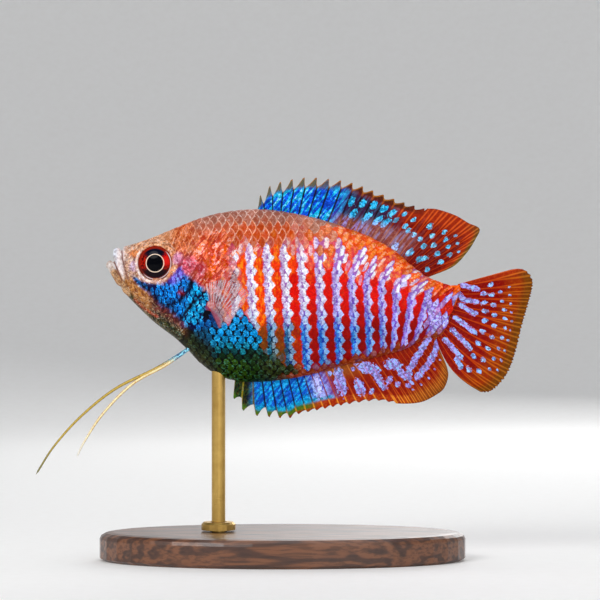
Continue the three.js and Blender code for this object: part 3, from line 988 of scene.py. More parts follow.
def lattice_of(points):
    """Column and row in the scale pattern for points near the flank."""
    middle, up, down, _ = section_parts(points[:, 0])
    height = points[:, 2] - middle
    lean = LEAN_MOST * soft(points[:, 0], LEAN_FROM, LEAN_TO)
    reach = np.maximum(np.where(height > 0, up, down), 0.5)
    arc = height * (1 + ROUNDING * (height / reach) ** 2)
    along = points[:, 0] - lean * height
    column = column_of_along(along - lean_of_column(arc, soft(along, 4, 17)))
    return np.column_stack([column, row_of_arc(arc), np.zeros(len(points))])


def put_vector(mesh, name, values):
    layer = mesh.attributes.new(name, "FLOAT_VECTOR", "POINT")
    layer.data.foreach_set("vector", np.ascontiguousarray(values, np.float32).ravel())


skin_mesh = finished(masses, ("DECIMATE", {"ratio": THINNED}))
skin_points = mesh_vectors(skin_mesh, "co")
body_paint(skin_points[:, 0], skin_points[:, 2]).put_on(skin_mesh)
put_vector(skin_mesh, "lattice", lattice_of(skin_points))
print("skin thinned to", len(skin_mesh.polygons), "faces")

# %% [markdown]
# Two effects are shared by several finishes, so each is a group. The bars are worked out from
# column and row. On the real fish a bar is a stack of red beads, one scale high each. In front it
# is bitten by the pale points of the scales that overlap it, and behind it bulges over the next
# ones, so both edges follow the rows. The other group is the glitter of single crystals, which
# darkens and brightens a colour in facets and paints glints, cyan or white, on the brightest.

# %% Bars and glitter
BAR_HALF = 0.6
BITE = 0.42
NOTCH = 0.17
BAR_EDGE = 0.05


def bars_group():
    """Where the red bars are, and which of the bright bands between them are the brightest."""
    given, result = new_group("bars", {"Lattice": "Vector"}, {"Bar": "Float", "Lit": "Float"})
    column, row, _ = parts_of(given["Lattice"])
    wobble, crumble = noise(given["Lattice"], 1.7, 1), noise(given["Lattice"], 7, 1)
    column = column + (wobble * 0.36 - 0.18) + (crumble * 0.4 - 0.2)
    from_bar = calc("WRAP", column, 1, -1)
    from_row = abs(calc("WRAP", row, 1, -1))
    bite = calc("MAXIMUM", from_row * 1.35 - 0.35, 0)
    front = bite * BITE - BAR_HALF
    behind = BAR_HALF - from_row * from_row * NOTCH
    past_front = ease(from_bar - front, -BAR_EDGE, BAR_EDGE)
    short_of_behind = ease(behind - from_bar, -BAR_EDGE, BAR_EDGE)
    lit = ease(calc("WRAP", column, 2, 0), 0.98, 1.12)
    set_inputs(result, Bar=past_front * short_of_behind, Lit=lit)
    return result.id_data


def glitter_group():
    """Facets that darken and brighten a colour, and painted glints on the brightest: cyan, or white on a
    light colour.
    """
    sockets = {"Colour": "Color", "Place": "Vector", "Amount": "Float"}
    given, result = new_group("glitter", sockets, {"Colour": "Color"})
    amount = given["Amount"]
    facet = flecks(given["Place"], 6.1) * 0.35 + flecks(given["Place"], 2.7) * 0.65
    level = blend(amount, paint("FFFFFF"), ease(facet, 0.2, 0.8) * 1.15 + 0.45)
    tone = blend(1, given["Colour"], level, "MULTIPLY")
    lightness = given["Colour"] * 1.3
    lilac = ease(facet, 0.4, 0.28) * ease(lightness, 0.6, 0.9) * 0.6
    tone = blend(lilac * amount, tone, paint("B48CE4"))
    # Painted glints: the brightest facets are lifted to cyan or white in the base colour, as highlights.
    painted_glint = blend(0.6, given["Colour"], paint("50E8FF"))
    painted_glint = blend(ease(lightness, 0.42, 0.8), painted_glint, paint("F8FCFF"))
    keen = calc("MINIMUM", lightness * 1.6, 1)
    painted_glint_share = calc("MINIMUM", ease(facet, 0.66, 0.76) * amount * keen * 1.3, 0.85)
    set_inputs(result, Colour=blend(painted_glint_share, tone, painted_glint))
    return result.id_data


BARS = bars_group()
GLITTER = glitter_group()
print("bars are", 2 * BAR_HALF, "columns wide")

# %% [markdown]
# Inside each scale the light tone is set on the dark one in one of three patterns, and a level
# chooses between them: a glint near the free end, broken by lace and hollow where it is blue, an
# outline, or, half way between these, white dashes. A picture of scales could give the same at one
# size only. These patterns follow each plate's own two directions.

# %% Patterns inside a scale
def core_of_scale(back, across, ripple, strand, pale):
    """A glint near the free end, a little smaller and hollow where the light tone isn't pale."""
    deep, wide = (back + 0.4) / 0.47, across / 0.68
    away = (calc("SQRT", deep**2 + wide**2) + ripple) * (1.12 - pale * 0.12)
    lace = ease(abs(strand - 0.5), 0.06, 0.015)
    hollow = ease(away, 0.7, 0.35) * (1 - pale)
    gap = calc("MAXIMUM", lace * 0.45, hollow * 0.4)
    return ease(away, 1.06, 0.84) * (1 - gap)


def outline_of_scale(back, across, ripple, strand, to_edge):
    """A bright rim, and fainter marks outside a diamond and along some strands."""
    rim = ease(ripple * 0.18 + to_edge, 0.15, 0.07)
    diamond = abs(across) + abs(back + 0.45) * 1.3 + ripple
    outline = calc("MAXIMUM", rim, ease(diamond, 0.6, 0.85) * 0.42)
    return calc("MAXIMUM", outline, ease(strand, 0.5, 0.66) * 0.28)


def dash_of_scale(tree, place, back, across, ripple):
    """A stroke across each scale, and slanting streaks instead of it in front."""
    from_middle = abs(back + 0.36 + ripple * 0.3)
    stroke = ease(from_middle, 0.23, 0.15) * ease(ripple * 0.5 + abs(across), 0.78, 0.6)
    slanting = noise(place_in_mm(tree, stretch=(1, 3.4, 3.4), turn=34), 1.9, 2)
    in_front = ease(parts_of(place)[0], 1, -3)
    return stroke * (1 - in_front) + ease(slanting, 0.48, 0.54) * in_front


def glow_of_bars(tree, band, facet):
    """The tone of a bar, with yellow flames and red embers where it is orange."""
    red, green, _ = parts_of(band)
    orange = calc("MINIMUM", green * red * 16, 0.85)
    flame = noise(place_in_mm(tree, stretch=(1, 1, 2)), 2, 3)
    glow = blend(ease(flame, 0.5, 0.64) * orange, band, paint("FF9010"))
    glow = blend(ease(flame, 0.46, 0.36) * orange, glow, paint("E01C02"))
    return blend(1, glow, facet * 0.35 + 0.85, "MULTIPLY")


print("three patterns for a scale")

# %% [markdown]
# The finish puts the patterns together, with glitter, the bars over them, and a shade that differs
# a little from scale to scale. Dashes also cross some of the bars, and orange bars flicker. Guanine
# crystals make the real scale shine, under a clear wet film, so the shader gets a little metal in
# the light tone and a clear coat over all.

# %% Finish of the scales
def painted_tones(tree):
    """The three tones that the mesh carries, and the level beside each."""
    return [[painted(tree, tone, output) for tone in TONES] for output in ("Color", "Alpha")]


def scale_finish():
    material, tree, shader = new_finish(
        "wet_scales", Coat_Weight=0.07, Coat_Roughness=0.1, Specular_IOR_Level=0.04)
    (dark, light, band), (edged, shine, barred) = painted_tones(tree)
    back, across, chance = parts_of(painted(tree, "plate"))
    place = place_in_mm(tree)
    fine, grit, facet = noise(place, 2.6, 3), noise(place, 7, 2), flecks(place, 3.6)
    strand = noise(place_in_mm(tree, stretch=(0.8, 1, 2.6), turn=14), 1.5, 2)
    ripple = (fine * 0.8 - 0.4) + (facet * 0.4 - 0.2)
    pale = ease(light, 0.3, 0.6)
    to_edge = (abs(across) ** EDGE_CURVE * EDGE_DEPTH + back) * -1

    core = core_of_scale(back, across, ripple, strand, pale)
    outline = outline_of_scale(back, across, ripple, strand, to_edge)
    dash = dash_of_scale(tree, place, back, across, ripple) * (calc("PINGPONG", edged, 0.5) * 2)
    as_core, as_outline = calc("MAXIMUM", 1 - edged * 2, 0), calc("MAXIMUM", edged * 2 - 1, 0)
    filled = core * as_core + outline * as_outline + dash
    ground = blend(filled, dark, light)
    ground = use_group(GLITTER, Colour=ground, Place=place, Amount=shine * (filled * 0.6 + 0.4))["Colour"]

    bars = use_group(BARS, Lattice=painted(tree, "lattice"))
    crossed = dash * ease(chance, 0.35, 0.4)
    bar = bars["Bar"] * (1 - crossed * 0.85) * barred
    lit = bars["Lit"] * barred
    ground = blend((barred - lit) * 0.42, ground, dark)
    ground = blend(lit * filled * 0.6, ground, blend(0.45, light, paint("F4FBFF")))
    colour = blend(bar, ground, glow_of_bars(tree, band, facet))
    shade = (chance - 0.5) * (0.5 - pale * 0.3) + 0.97 + (grit * 0.3 - 0.12)
    growth_rings = calc("SINE", to_edge * 55)
    set_inputs(
        shader,
        Base_Color=blend(1, colour, shade, "MULTIPLY"),
        Metallic=filled * shine * (1 - bar) * 0.2,
        Roughness=fine * 0.3 + 0.24,
        Normal=raised(growth_rings * 0.2 + facet * 0.6 + grit, 0.03, 0.8),
    )
    return material


WET_SCALES = scale_finish()
print("finish", WET_SCALES.name)

# %% [markdown]
# The bare skin of the head is the same paint without scales: dark and light tones mingle in
# freckles and worm-like cream lines, which two noises draw at two sizes.

# %% Finish of the skin
def skin_finish():
    material, tree, shader = new_finish(
        "mottled_skin", Coat_Weight=0.12, Coat_Roughness=0.08, Specular_IOR_Level=0.08)
    (dark, light, band), (speckled, shine, barred) = painted_tones(tree)
    place = place_in_mm(tree)
    mottle, vein, freckle = noise(place, 1.5, 4, 0.6), noise(place, 1.3, 3), noise(place, 3.4, 2)
    ground = blend(ease(mottle, 0.38, 0.6), dark, light)
    line = ease(abs(vein - 0.5), 0.03, 0.005)
    ground = blend(line * speckled * shine * 2.2, ground, paint("FFD9A8"))
    dots = ease(freckle + (mottle * 0.3 - 0.15), 0.58, 0.64)
    ground = blend(dots * speckled * 0.85, ground, paint("3C1A14"))
    ground = use_group(GLITTER, Colour=ground, Place=place, Amount=shine)["Colour"]
    bar = use_group(BARS, Lattice=painted(tree, "lattice"))["Bar"]
    set_inputs(
        shader,
        Base_Color=blend(bar * barred, ground, band),
        Roughness=mottle * 0.3 + 0.25,
        Normal=raised(mottle + freckle, 0.035, 0.6),
    )
    return material


FLESH_NODES = ("head", "jaw_upper", "jaw_lower", "gill_cover_left", "gill_cover_right", "trunk", "tail_stalk")
piece_from(skin_mesh, "skin", skin_finish(), FLESH_NODES)

# %% [markdown]
# Scales come next. One scale is a thin plate with a round free end: a small grid and its double,
# joined at the rim, and bent to shape by a formula in its own two directions. Laying it is then
# only a change of coordinates: the plate's length runs along the columns, its width across the
# rows, and its height along the normal. Each plate slopes down towards the head, so its front
# slips under the scales before it.

# %% One scale
PLATE_LONG = 1.9
PLATE_STEPS = 5
PLATE_TAPER = 0.5
SLOPE = 0.095
CROWN = 0.05
PLATE_THICK = 0.05


def double_sheet(x_steps, y_steps):
    """A flat grid and its double, joined at the rim. Its height is 1 above, -1 below, 0 at the rim."""
    bm = bmesh.new()
    bmesh.ops.create_grid(bm, x_segments=x_steps, y_segments=y_steps, size=1)
    double = bmesh.ops.duplicate(bm, geom=bm.verts[:] + bm.edges[:] + bm.faces[:])["geom"]
    bmesh.ops.reverse_faces(bm, faces=[part for part in double if isinstance(part, bmesh.types.BMFace)])
    below = {part for part in double if isinstance(part, bmesh.types.BMVert)}
    for vertex in bm.verts:
        at_rim = max(abs(vertex.co.x), abs(vertex.co.y)) > 0.9999
        side = -1 if vertex in below else 1
        vertex.co.z = 0 if at_rim else side
    bmesh.ops.remove_doubles(bm, verts=bm.verts, dist=1e-4)
    return bm


def scale_plate():
    """One plate, its places given as back (0 at the free end, negative forward), across, and top (1)
    or under side (-1)."""
    bm = double_sheet(PLATE_STEPS, PLATE_STEPS + 1)
    grid = vertex_array(bm)
    across = np.sin(grid[:, 1] * math.pi / 2)
    taper = 1 - PLATE_TAPER * np.clip(-grid[:, 0], 0, 1) ** 2
    share = (grid[:, 0] + 1) / 2
    edge = -EDGE_DEPTH * np.abs(across) ** EDGE_CURVE
    back = -PLATE_LONG * (1 - share) + edge * share
    move_vertices(bm, np.column_stack([back, across * taper, grid[:, 2]]))
    return mesh_from(bm, "plate")


ONE_SCALE = scale_plate()
PLATE = mesh_vectors(ONE_SCALE, "co")
print("a scale has", len(ONE_SCALE.polygons), "faces")

# %% [markdown]
# The coat is laid by rows and columns. A place is skipped where the skin is bare, where the girth
# ends at the ridge, or where the gill cover's edge would cut a scale in two. Both sides have the
# same places.

# %% Places of the scales
ROWS = range(-17, 14)
COLUMNS = range(-19, 24)
FREE_END = {0: 0.5, 1: 0.0}
COVERED = 0.6


def scale_places():
    """Column and row of every free end on a side, and whether it is on the gill cover."""
    places = []
    for row in ROWS:
        for column in COLUMNS:
            tip = column + FREE_END[row % 2]
            along, arc = lattice_point(np.array([tip - 0.5]), np.array([float(row)]))
            if not STATIONS[0] + 1 < along[0] < STATIONS[-1] - 0.3:
                continue
            length = np.interp(along, STATIONS, GIRTH[1 if row > 0 else -1][0])
            if abs(arc[0]) > length[0] + 0.2:
                continue
            x, _, z = flank_point(along, arc, 1)[0]
            if scaly(x, z) < COVERED:
                continue
            out, back = gill_oval(x, z)
            on_cover = out < 0.9 and cheek_mask(x, z) > 0.5
            if not on_cover and out < 1.02 and back > -1.5 and cheek_top(x) > z:
                continue
            places.append((tip, row, on_cover))
    return places


SCALE_PLACES = scale_places()
print(len(SCALE_PLACES), "scales on a side")

# %% [markdown]
# One scale is laid by asking the flank for the places of all its vertices. It follows the gill
# cover's rise and the shallow folds, but not the deep ones, and it flattens towards bare skin, so
# the coat's edge is thin. On the flank a whole scale takes the paint of one place. It also gets
# its patch on the baking map: its own cell of the skin unrolled by column and row.

# %% Laying one scale
SCALE_WIDE, SIZE_SPREAD, TILT_SPREAD = 1.02, 0.06, 0.02
SCALE_SINK, MOST_RELIEF = 0.03, 0.02
PATCH_HALF = 0.46


def lay_scale(tip, row, on_cover, side, chance):
    """The plate's vertices on the flank, and its places in the scale pattern."""
    size = 1 + SIZE_SPREAD * (chance - 0.5)
    columns = tip + PLATE[:, 0] * size
    rows = row + PLATE[:, 1] * SCALE_WIDE * size
    point, normal = on_flank(columns, rows, side)
    x, z = point[:, 0], point[:, 2]
    _, back = gill_oval(x, z)
    on_head = np.minimum(head_relief(x, z), MOST_RELIEF)
    relief = np.where(on_cover, COVER_RISE * rear_of_cover(back), on_head)
    rise = COAT + SLOPE * PLATE[:, 0] + CROWN * (1 - PLATE[:, 1] ** 2) - SCALE_SINK
    rise += TILT_SPREAD * (chance - 0.5) + PLATE_THICK / 2 * PLATE[:, 2]
    flattened = np.clip(scaly(x, z) + 0.3, 0, 1)
    return point + normal * (relief - coat_depth(x, z) + rise * flattened)[:, None], columns, rows


def paint_place(seen, tip, row, jitter):
    """Where each vertex takes its paint from. On the flank a whole scale has the paint of one place,
    so regions meet scale by scale, and that place strays furthest high up at the rear."""
    along, arc = lattice_point(np.array([tip - 0.5]), np.array([float(row)]))
    middle = flank_point(along, arc, 1)[0][[0, 2]]
    stray = 0.5 + 0.8 * soft(middle[0], -4, 8) * soft(middle[1], 44, 49)
    whole = soft(middle[0], -14.5, -11.5)
    return seen * (1 - whole) + (middle + jitter * stray) * whole


def baking_patch(tip, row):
    """Each vertex's place on the baking map: the scale's own cell of the unrolled skin."""
    u = (tip + 0.5 + PATCH_HALF * (1 + PLATE[:, 0] / PLATE_LONG * 2) - COLUMNS.start) / (len(COLUMNS) + 2)
    v = (row + PATCH_HALF * PLATE[:, 1] - ROWS.start + 1) / (len(ROWS) + 2)
    return np.column_stack([u, v])


print("each scale lays", len(PLATE), "vertices")

# %% [markdown]
# For the whole coat, the one plate's mesh joins a bmesh again for every place, and all vertices
# then move to where they lie. Chance gives each scale a slightly different size and tilt, and its
# starting number is fixed, so that the coat comes out the same each time.

# %% The coat of scales
def coat_of_scales(side):
    draws = np.random.default_rng(7)
    bm = bmesh.new()
    points, lattice, plates, patches, places = [], [], [], [], []
    for tip, row, on_cover in SCALE_PLACES:
        chance = draws.random()
        bm.from_mesh(ONE_SCALE)
        laid, columns, rows = lay_scale(tip, row, on_cover, side, chance)
        points.append(laid)
        places.append(paint_place(laid[:, [0, 2]], tip, row, draws.uniform(-1, 1, 2)))
        lattice.append(np.column_stack([columns, rows, np.zeros(len(PLATE))]))
        plates.append(np.column_stack([PLATE[:, 0], PLATE[:, 1], np.full(len(PLATE), chance)]))
        patches.append(baking_patch(tip, row))
    if side > 0:
        bmesh.ops.reverse_faces(bm, faces=bm.faces)
    move_vertices(bm, np.concatenate(points))
    mesh = mesh_from(bm, "scales")
    put_vector(mesh, "lattice", np.concatenate(lattice))
    put_vector(mesh, "plate", np.concatenate(plates))
    body_paint(*np.concatenate(places).T).put_on(mesh)
    corners = np.empty(len(mesh.loops), np.int32)
    mesh.loops.foreach_get("vertex_index", corners)
    patch = mesh.uv_layers.new(name="OFBake")
    patch.data.foreach_set("uv", np.concatenate(patches)[corners].astype(np.float32).ravel())
    return mesh


for side, name in ((-1, "scales_left"), (1, "scales_right")):
    coat = piece_from(coat_of_scales(side), name, WET_SCALES, ())
    coat.data.set_sharp_from_angle(angle=math.radians(50))

# %% [markdown]
# A fish's eye is a ball that bulges a little from its socket. Seen from the side it is a black
# pupil in a thin bright ring, and an iris that is red in front and behind and dark above and
# below. The colours are rings and sectors measured from the eye's middle, and a thick clear coat
# gives the wet glint of a glass eye.

# %% Eyes
PUPIL, RING = 1.46, 1.6
EYE_POINTED = 1.15


def eye_finish():
    material, tree, shader = new_finish(
        "glass_eye", Coat_Weight=0.12, Coat_Roughness=0.02, Specular_IOR_Level=0.0)
    place = place_in_mm(tree)
    x, _, z = parts_of(place)
    across, up = x - EYE["x"], z - EYE["z"]
    away = calc("SQRT", across**2 + up**2)
    fibre = noise(place, 3.2, 3)
    uneven = fibre * 0.5 - 0.25
    rim_tone = blend(ease(up, 0.2, -1.4), paint("8E2010"), paint("6A1C14"))
    layers = (  # mask and tone, each laid over the ones before
        (ease(across, 0.6, 1.8) * ease(up, -1.0, 0.2) * 0.85, paint("E4100A")),
        (ease(abs(up / away) + uneven, 0.5, 0.78), paint("0A0D1E")),
        (ease(up + uneven, -0.4, -1.3) * 0.85, paint("1C0C10")),
        (ease(away, 2.42, 2.66), rim_tone),
        (ease(away, 2.66, 2.72) * ease(away, 2.86, 2.8) * ease(across - up, -0.6, 1.2), paint("E8D4D8")),
        (ease(away, PUPIL, PUPIL + 0.04) * ease(away, RING + 0.04, RING), paint("F4D8C0")),
        (ease(away, PUPIL + 0.02, PUPIL - 0.05), paint("020308")),
    )
    colour = blend(ease(fibre, 0.38, 0.62), paint("4A0604"), paint("B81A08"))
    for mask, tone in layers:
        colour = blend(mask, colour, tone)
    set_inputs(shader, Base_Color=colour, Roughness=fibre * 0.2 + 0.15, Normal=raised(fibre, 0.04, 0.3))
    return material


def eyeball(side):
    bm = bmesh.new()
    outward = Matrix.Rotation(math.radians(90), 4, "X")
    bmesh.ops.create_uvsphere(bm, u_segments=64, v_segments=40, radius=1, matrix=outward)
    ball = vertex_array(bm)
    x = EYE["x"] + ball[:, 0] * EYE["radius"]
    y = eye_plane(x) + np.abs(ball[:, 1]) ** EYE_POINTED * np.sign(ball[:, 1]) * EYE["depth"]
    move_vertices(bm, np.column_stack([x, side * y, EYE["z"] + ball[:, 2] * EYE["radius"]]))
    bmesh.ops.recalc_face_normals(bm, faces=bm.faces)
    return mesh_from(bm, "eyeball")


GLASS_EYE = eye_finish()
for side, name in ((-1, "left"), (1, "right")):
    piece_from(eyeball(side), "eyeball_" + name, GLASS_EYE, ("eye_" + name,))

# %% [markdown]
# A fin is a double skin stretched over rays. Each of its points has a ray number and a reach, from
# 0 at the root to 1 at the edge, and the fin's outline is given in the same terms. A flat grid in
# those two numbers is doubled, its halves are pushed apart by the thickness, most over the rays,
# and their rims are joined. The first rays of back and belly fin are spines, with a flag of skin
# behind each point. The later ones are soft and split in two towards the edge.

# %% A fin from rays and reach
FIN_SKIN = 0.16
RAY_RISE = 0.2
RIM_SHARE, RIM_THIN = 0.04, 0.25
FORK = 0.21
SPINE_HALF, RAY_HALF = 0.15, 0.13
RAY_TAPER = 0.55


def fin_grid(rays, per_ray, steps):
    """A double sheet, with the ray number, reach and side of each of its vertices."""
    bm = double_sheet(rays * per_ray, steps)
    grid = vertex_array(bm)
    return bm, (grid[:, 0] + 1) / 2 * rays, (grid[:, 1] + 1) / 2, grid[:, 2]


def ray_ridge(ray, out, spines):
    """1 on a ray and 0 between rays; a soft ray splits in two on its way out."""
    fork = np.where(ray > spines, FORK * soft(out, 0.3, 0.95), 0)
    off = np.abs(np.abs(ray - np.round(ray)) - fork)
    return np.clip(1 - (off / np.where(ray > spines, RAY_HALF, SPINE_HALF)) ** 2, 0, 1)


def half_thickness(ray, out, rays, spines):
    taper = 1 - RAY_TAPER * out
    thick = FIN_SKIN / 2 + RAY_RISE / 2 * ray_ridge(ray, out, spines) * taper
    rim = soft(np.minimum(out, 1 - out), 0, RIM_SHARE) * soft(np.minimum(ray, rays - ray), 0, 0.3)
    return thick * (RIM_THIN + (1 - RIM_THIN) * rim)


def fin_piece(name, rays, spines, per_ray, steps, point_at, paint_at, finish, nodes):
    """A whole fin. point_at gives each point's place and how far it is short of the ray's tip."""
    bm, ray, out, side = fin_grid(rays, per_ray, steps)
    x, y, z, short = point_at(ray, out)
    move_vertices(bm, np.column_stack([x, y + side * half_thickness(ray, out, rays, spines), z]))
    bmesh.ops.recalc_face_normals(bm, faces=bm.faces)
    mesh = mesh_from(bm, name)
    put_vector(mesh, "rays", np.column_stack([ray, out, ray_ridge(ray, out, spines)]))
    if paint_at:
        paint_at(ray, out, x, z, short).put_on(mesh)
    return piece_from(mesh, name, finish, nodes)


print("fin skin", FIN_SKIN, "mm thick")

# %% [markdown]
# Fin paint uses the same three tones in its own way: dark is the skin between the rays, light the
# rays, band the shining spots. Its levels say how streaked the skin is, how solid it is, and
# where the spots are. Spots on a fin sit between rays, in arcs of like reach, so they are
# laid by ray number and reach. The finish then gives each spot a crisp, crumbly edge.

# %% Finish of the fins
def fin_finish():
    material, tree, shader = new_finish(
        "fin_skin", Coat_Weight=0.07, Coat_Roughness=0.08, Specular_IOR_Level=0.04)
    (dark, light, band), (streaked, solid, spotted) = painted_tones(tree)
    ray, _, ridge = parts_of(painted(tree, "rays"))
    place = place_in_mm(tree)
    fine, facet = noise(place, 2.8, 3), flecks(place, 2.5)
    streak = noise(place_in_mm(tree, stretch=(0.9, 1, 6.5), turn=38), 2, 2)
    tone = blend(ease(fine, 0.42, 0.75) * 0.3, dark, light)
    tone = blend(ease(streak, 0.47, 0.57) * streaked, tone, band)
    on_ray = ease(ridge, 0.3, 0.8)
    tone = blend(on_ray, tone, light)
    ragged = (fine * 0.5 - 0.25) + (facet * 0.7 - 0.35)
    on_spot = ease(spotted + ragged, 0.44, 0.54) * (1 - on_ray * 0.45)
    tone = blend(on_spot, tone, band)
    amount = calc("MAXIMUM", on_spot, streaked * 0.8)
    tone = use_group(GLITTER, Colour=tone, Place=place, Amount=amount)["Colour"]
    shade = noise(place, 1.2, 3) * 0.6 + 0.66
    strands = calc("SINE", ray * 44)
    set_inputs(
        shader,
        Base_Color=blend(1, tone, shade, "MULTIPLY"),
        Roughness=fine * 0.3 + 0.26,
        Alpha=calc("MAXIMUM", solid, on_ray * 0.9),
        Normal=raised(strands * 0.3 + fine, 0.03, 0.6),
    )
    return material


FIN_FINISH = fin_finish()


def arc_of_spots(x, z, path, count, size, fan):
    """Strength of spots at even steps on a bent path, each pointing away from the fan's middle."""
    at_x, at_z = curves_of(np.column_stack([np.linspace(0, 1, len(path)), path]))
    strength = np.zeros(len(x))
    for share in np.linspace(0, 1, count):
        centre = (float(at_x(share)), float(at_z(share)))
        turn = math.degrees(math.atan2(centre[1] - fan[1], centre[0] - fan[0]))
        strength = np.maximum(strength, spot(x, z, centre, size, turn, 0.5))
    return strength


def strokes(x, z, lines, half_wide):
    """Strength of marks drawn along bent lines."""
    strength = [soft(from_line(x, z, line), 1.5 * half_wide, 0.5 * half_wide) for line in lines]
    return np.maximum.reduce(strength)


print("finish", FIN_FINISH.name)

# %% [markdown]
# The back fin runs along the rear half of the back, and the belly fin mirrors it below. Their
# outlines are given by a few rays: where the ray's tip is, seen from the side. Between the tips
# of the spines the skin is cut back in notches, deep in front and shallow further on.

# %% Outlines of back fin and belly fin
ROOTED = 0.6
FLAG_HOLLOW = 1.7
SHORTEST = 0.05
FIN_SWAY = 0.1
BACK_FIN = {
    "up": 1, "spines": 16, "rays": 26, "flag": 0.72, "deep": 2.4, "shallow": 0.75, "settled": 13,
    "spread": (-4.6, 3.0, 11.8, 18.5, 21.5, 23.4),
    "edge": (
        (0, -4.7, 63.2), (0.72, -3.9, 64.3), (1.72, -2.2, 65.9), (2.72, -0.3, 66.6), (4.72, 3.9, 67.3),
        (6.72, 8.2, 67.0), (8.72, 12.3, 66.2), (10.72, 15.9, 64.8), (12.72, 19.6, 63.3), (15.72, 24.9, 61.6),
        (17, 27.0, 61.4), (19, 30.3, 60.3), (20.5, 32.5, 59.0), (22, 34.5, 57.9), (23, 33.7, 56.0),
        (24, 32.2, 53.7), (25, 29.8, 51.3), (26, 25.8, 49.6),
    ),
}
BELLY_FIN = {
    "up": -1, "spines": 17, "rays": 32, "flag": 0.15, "deep": 2.3, "shallow": 0.5, "settled": 7,
    "spread": (-8.3, 1.5, 9.5, 17.2, 23.9, 28.6),
    "edge": (
        (0.15, -8.7, 27.9), (1.15, -7.1, 25.8), (2.15, -4.6, 24.8), (3.15, -2.4, 24.6), (5.15, 1.3, 24.6),
        (6.15, 2.8, 25.4), (8.15, 6.0, 26.1), (12.15, 11.7, 27.2), (15, 16.6, 27.8), (17, 19.9, 27.4),
        (19.3, 22.7, 27.4), (21.5, 24.8, 27.8), (23.8, 26.9, 28.9), (26, 28.3, 30.1), (28, 29.0, 32.2),
        (29.7, 28.7, 34.0), (31, 27.7, 36.4), (32, 27.0, 38.3),
    ),
}


def spiny_fin_point(fin):
    tip_x, tip_z = curves_of(fin["edge"])
    step = fin["rays"] / (len(fin["spread"]) - 1)
    root_along = smooth_curve([(n * step, along) for n, along in enumerate(fin["spread"])])

    def point_at(ray, out):
        along = root_along(ray)
        middle, up, down, _ = section_parts(along)
        height = up - ROOTED if fin["up"] > 0 else ROOTED - down
        lean = LEAN_MOST * soft(along, LEAN_FROM, LEAN_TO)
        root_x, root_z = along + lean * height, middle + height
        part = ray - np.floor(ray)
        to_tip = np.where(part < fin["flag"], part / fin["flag"], (1 - part) / (1 - fin["flag"]))
        dip = 1 - to_tip**FLAG_HOLLOW
        dip = np.where(ray >= fin["spines"], 0, dip)
        depth = fin["deep"] + (fin["shallow"] - fin["deep"]) * soft(ray, 2, fin["settled"])
        long = np.hypot(tip_x(ray) - root_x, tip_z(ray) - root_z)
        reach = out * np.maximum(SHORTEST, 1 - depth * dip / long)
        sway = FIN_SWAY * np.sin(2 * math.pi * ray) * np.sin(math.pi * out)
        x = root_x + (tip_x(ray) - root_x) * reach
        return x, sway, root_z + (tip_z(ray) - root_z) * reach, (1 - reach) * long

    return point_at


print("back fin rays", BACK_FIN["rays"], "belly fin rays", BELLY_FIN["rays"])

# %% [markdown]
# The back fin is electric blue in front, streaked with cyan, and its flags end in clear olive
# points. Further back its skin turns purple-brown with two rows of large cyan spots, and the soft
# rear part is dark red with orange rays and arcs of small spots.

# %% Back fin
BACK_ROWS = (  # path, how many, half length and width, and the middle that its spots point from
    (((12.1, 62.8), (16.0, 62.1), (19.2, 60.7)), 5, (0.85, 0.5), (5.0, 50.0)),
    (((21.3, 60.5), (23.0, 59.6)), 2, (0.5, 0.3), (10.0, 50.0)),
    (((12.3, 60.6), (15.8, 59.7), (18.0, 59.0)), 4, (1.2, 0.46), (5.0, 50.0)),
    (((19.9, 59.5), (21.4, 58.4)), 2, (0.6, 0.34), (8.0, 50.0)),
    (((19.7, 54.8), (22.2, 53.8), (24.0, 52.6)), 3, (0.85, 0.5), (16.0, 48.0)),
    (((22.0, 57.6), (24.4, 55.6), (25.3, 50.8)), 6, (0.52, 0.42), (16.0, 48.0)),
    (((25.8, 58.4), (26.5, 55.1), (27.7, 52.2)), 5, (0.56, 0.42), (16.0, 48.0)),
    (((28.3, 57.4), (28.8, 55.5), (29.3, 53.4)), 4, (0.46, 0.36), (16.0, 48.0)),
    (((30.4, 56.8), (30.8, 54.0)), 3, (0.3, 0.24), (16.0, 48.0)),
)


def back_fin_paint(ray, out, x, z, short):
    coat = Paint(len(ray), "044CE0", "080C20", "10C4F8", edged=1, shine=1, bars=0)
    middle, rear = soft(ray, 7.6, 9.4), soft(ray, 12.5, 15.0)
    coat.lay(middle, dark="381A40", light="200E18", band="18B0F0", edged=0.12)
    coat.lay(middle * soft(out, 0.4, 0.2), dark="8A4838", light="A86450", band="A890F0", edged=0.6)
    coat.lay(rear, dark="700300", light="B83404", band="58BCEC", edged=0)
    low = soft(ray, 10, 13) * soft(ray, 19, 16) * soft(out, 0.55, 0.3)
    coat.lay(low, dark="8C4038", light="B07060", band="9CB4F8", edged=0.3)
    coat.lay(soft(ray, 8, 10) * soft(short, 2.2, 1.2), dark="7C1C08", light="C8601C")
    coat.lay(rear * soft(short, 4.5, 1.5), dark="9A2404", light="D8541A")
    coat.lay(rear * soft(short, 2.0, 0.4) * soft(ray, 20, 23), dark="5C4416", light="9C7430")
    brown_tips = soft(ray, 5, 8) * soft(ray, 17, 14) * soft(short, 1.7, 1.2)
    coat.lay(brown_tips, dark="4C1C10", light="8C3C18", edged=0)
    tips = (1 - soft(ray, 5.5, 9)) * soft(short, 2.5, 1.9)
    coat.lay(tips, dark="5C5A38", light="6C4A24", edged=0, shine=0.7)
    coat.lay((1 - rear) * soft(out, 0.95, 0.98), dark="A8641C", light="C07828", shine=1)
    coat.level["bars"] = np.maximum.reduce([arc_of_spots(x, z, *row) for row in BACK_ROWS])
    return coat


fin_piece("back_fin", BACK_FIN["rays"], BACK_FIN["spines"], 8, 44, spiny_fin_point(BACK_FIN), back_fin_paint,
          FIN_FINISH, ("dorsal_fin",))

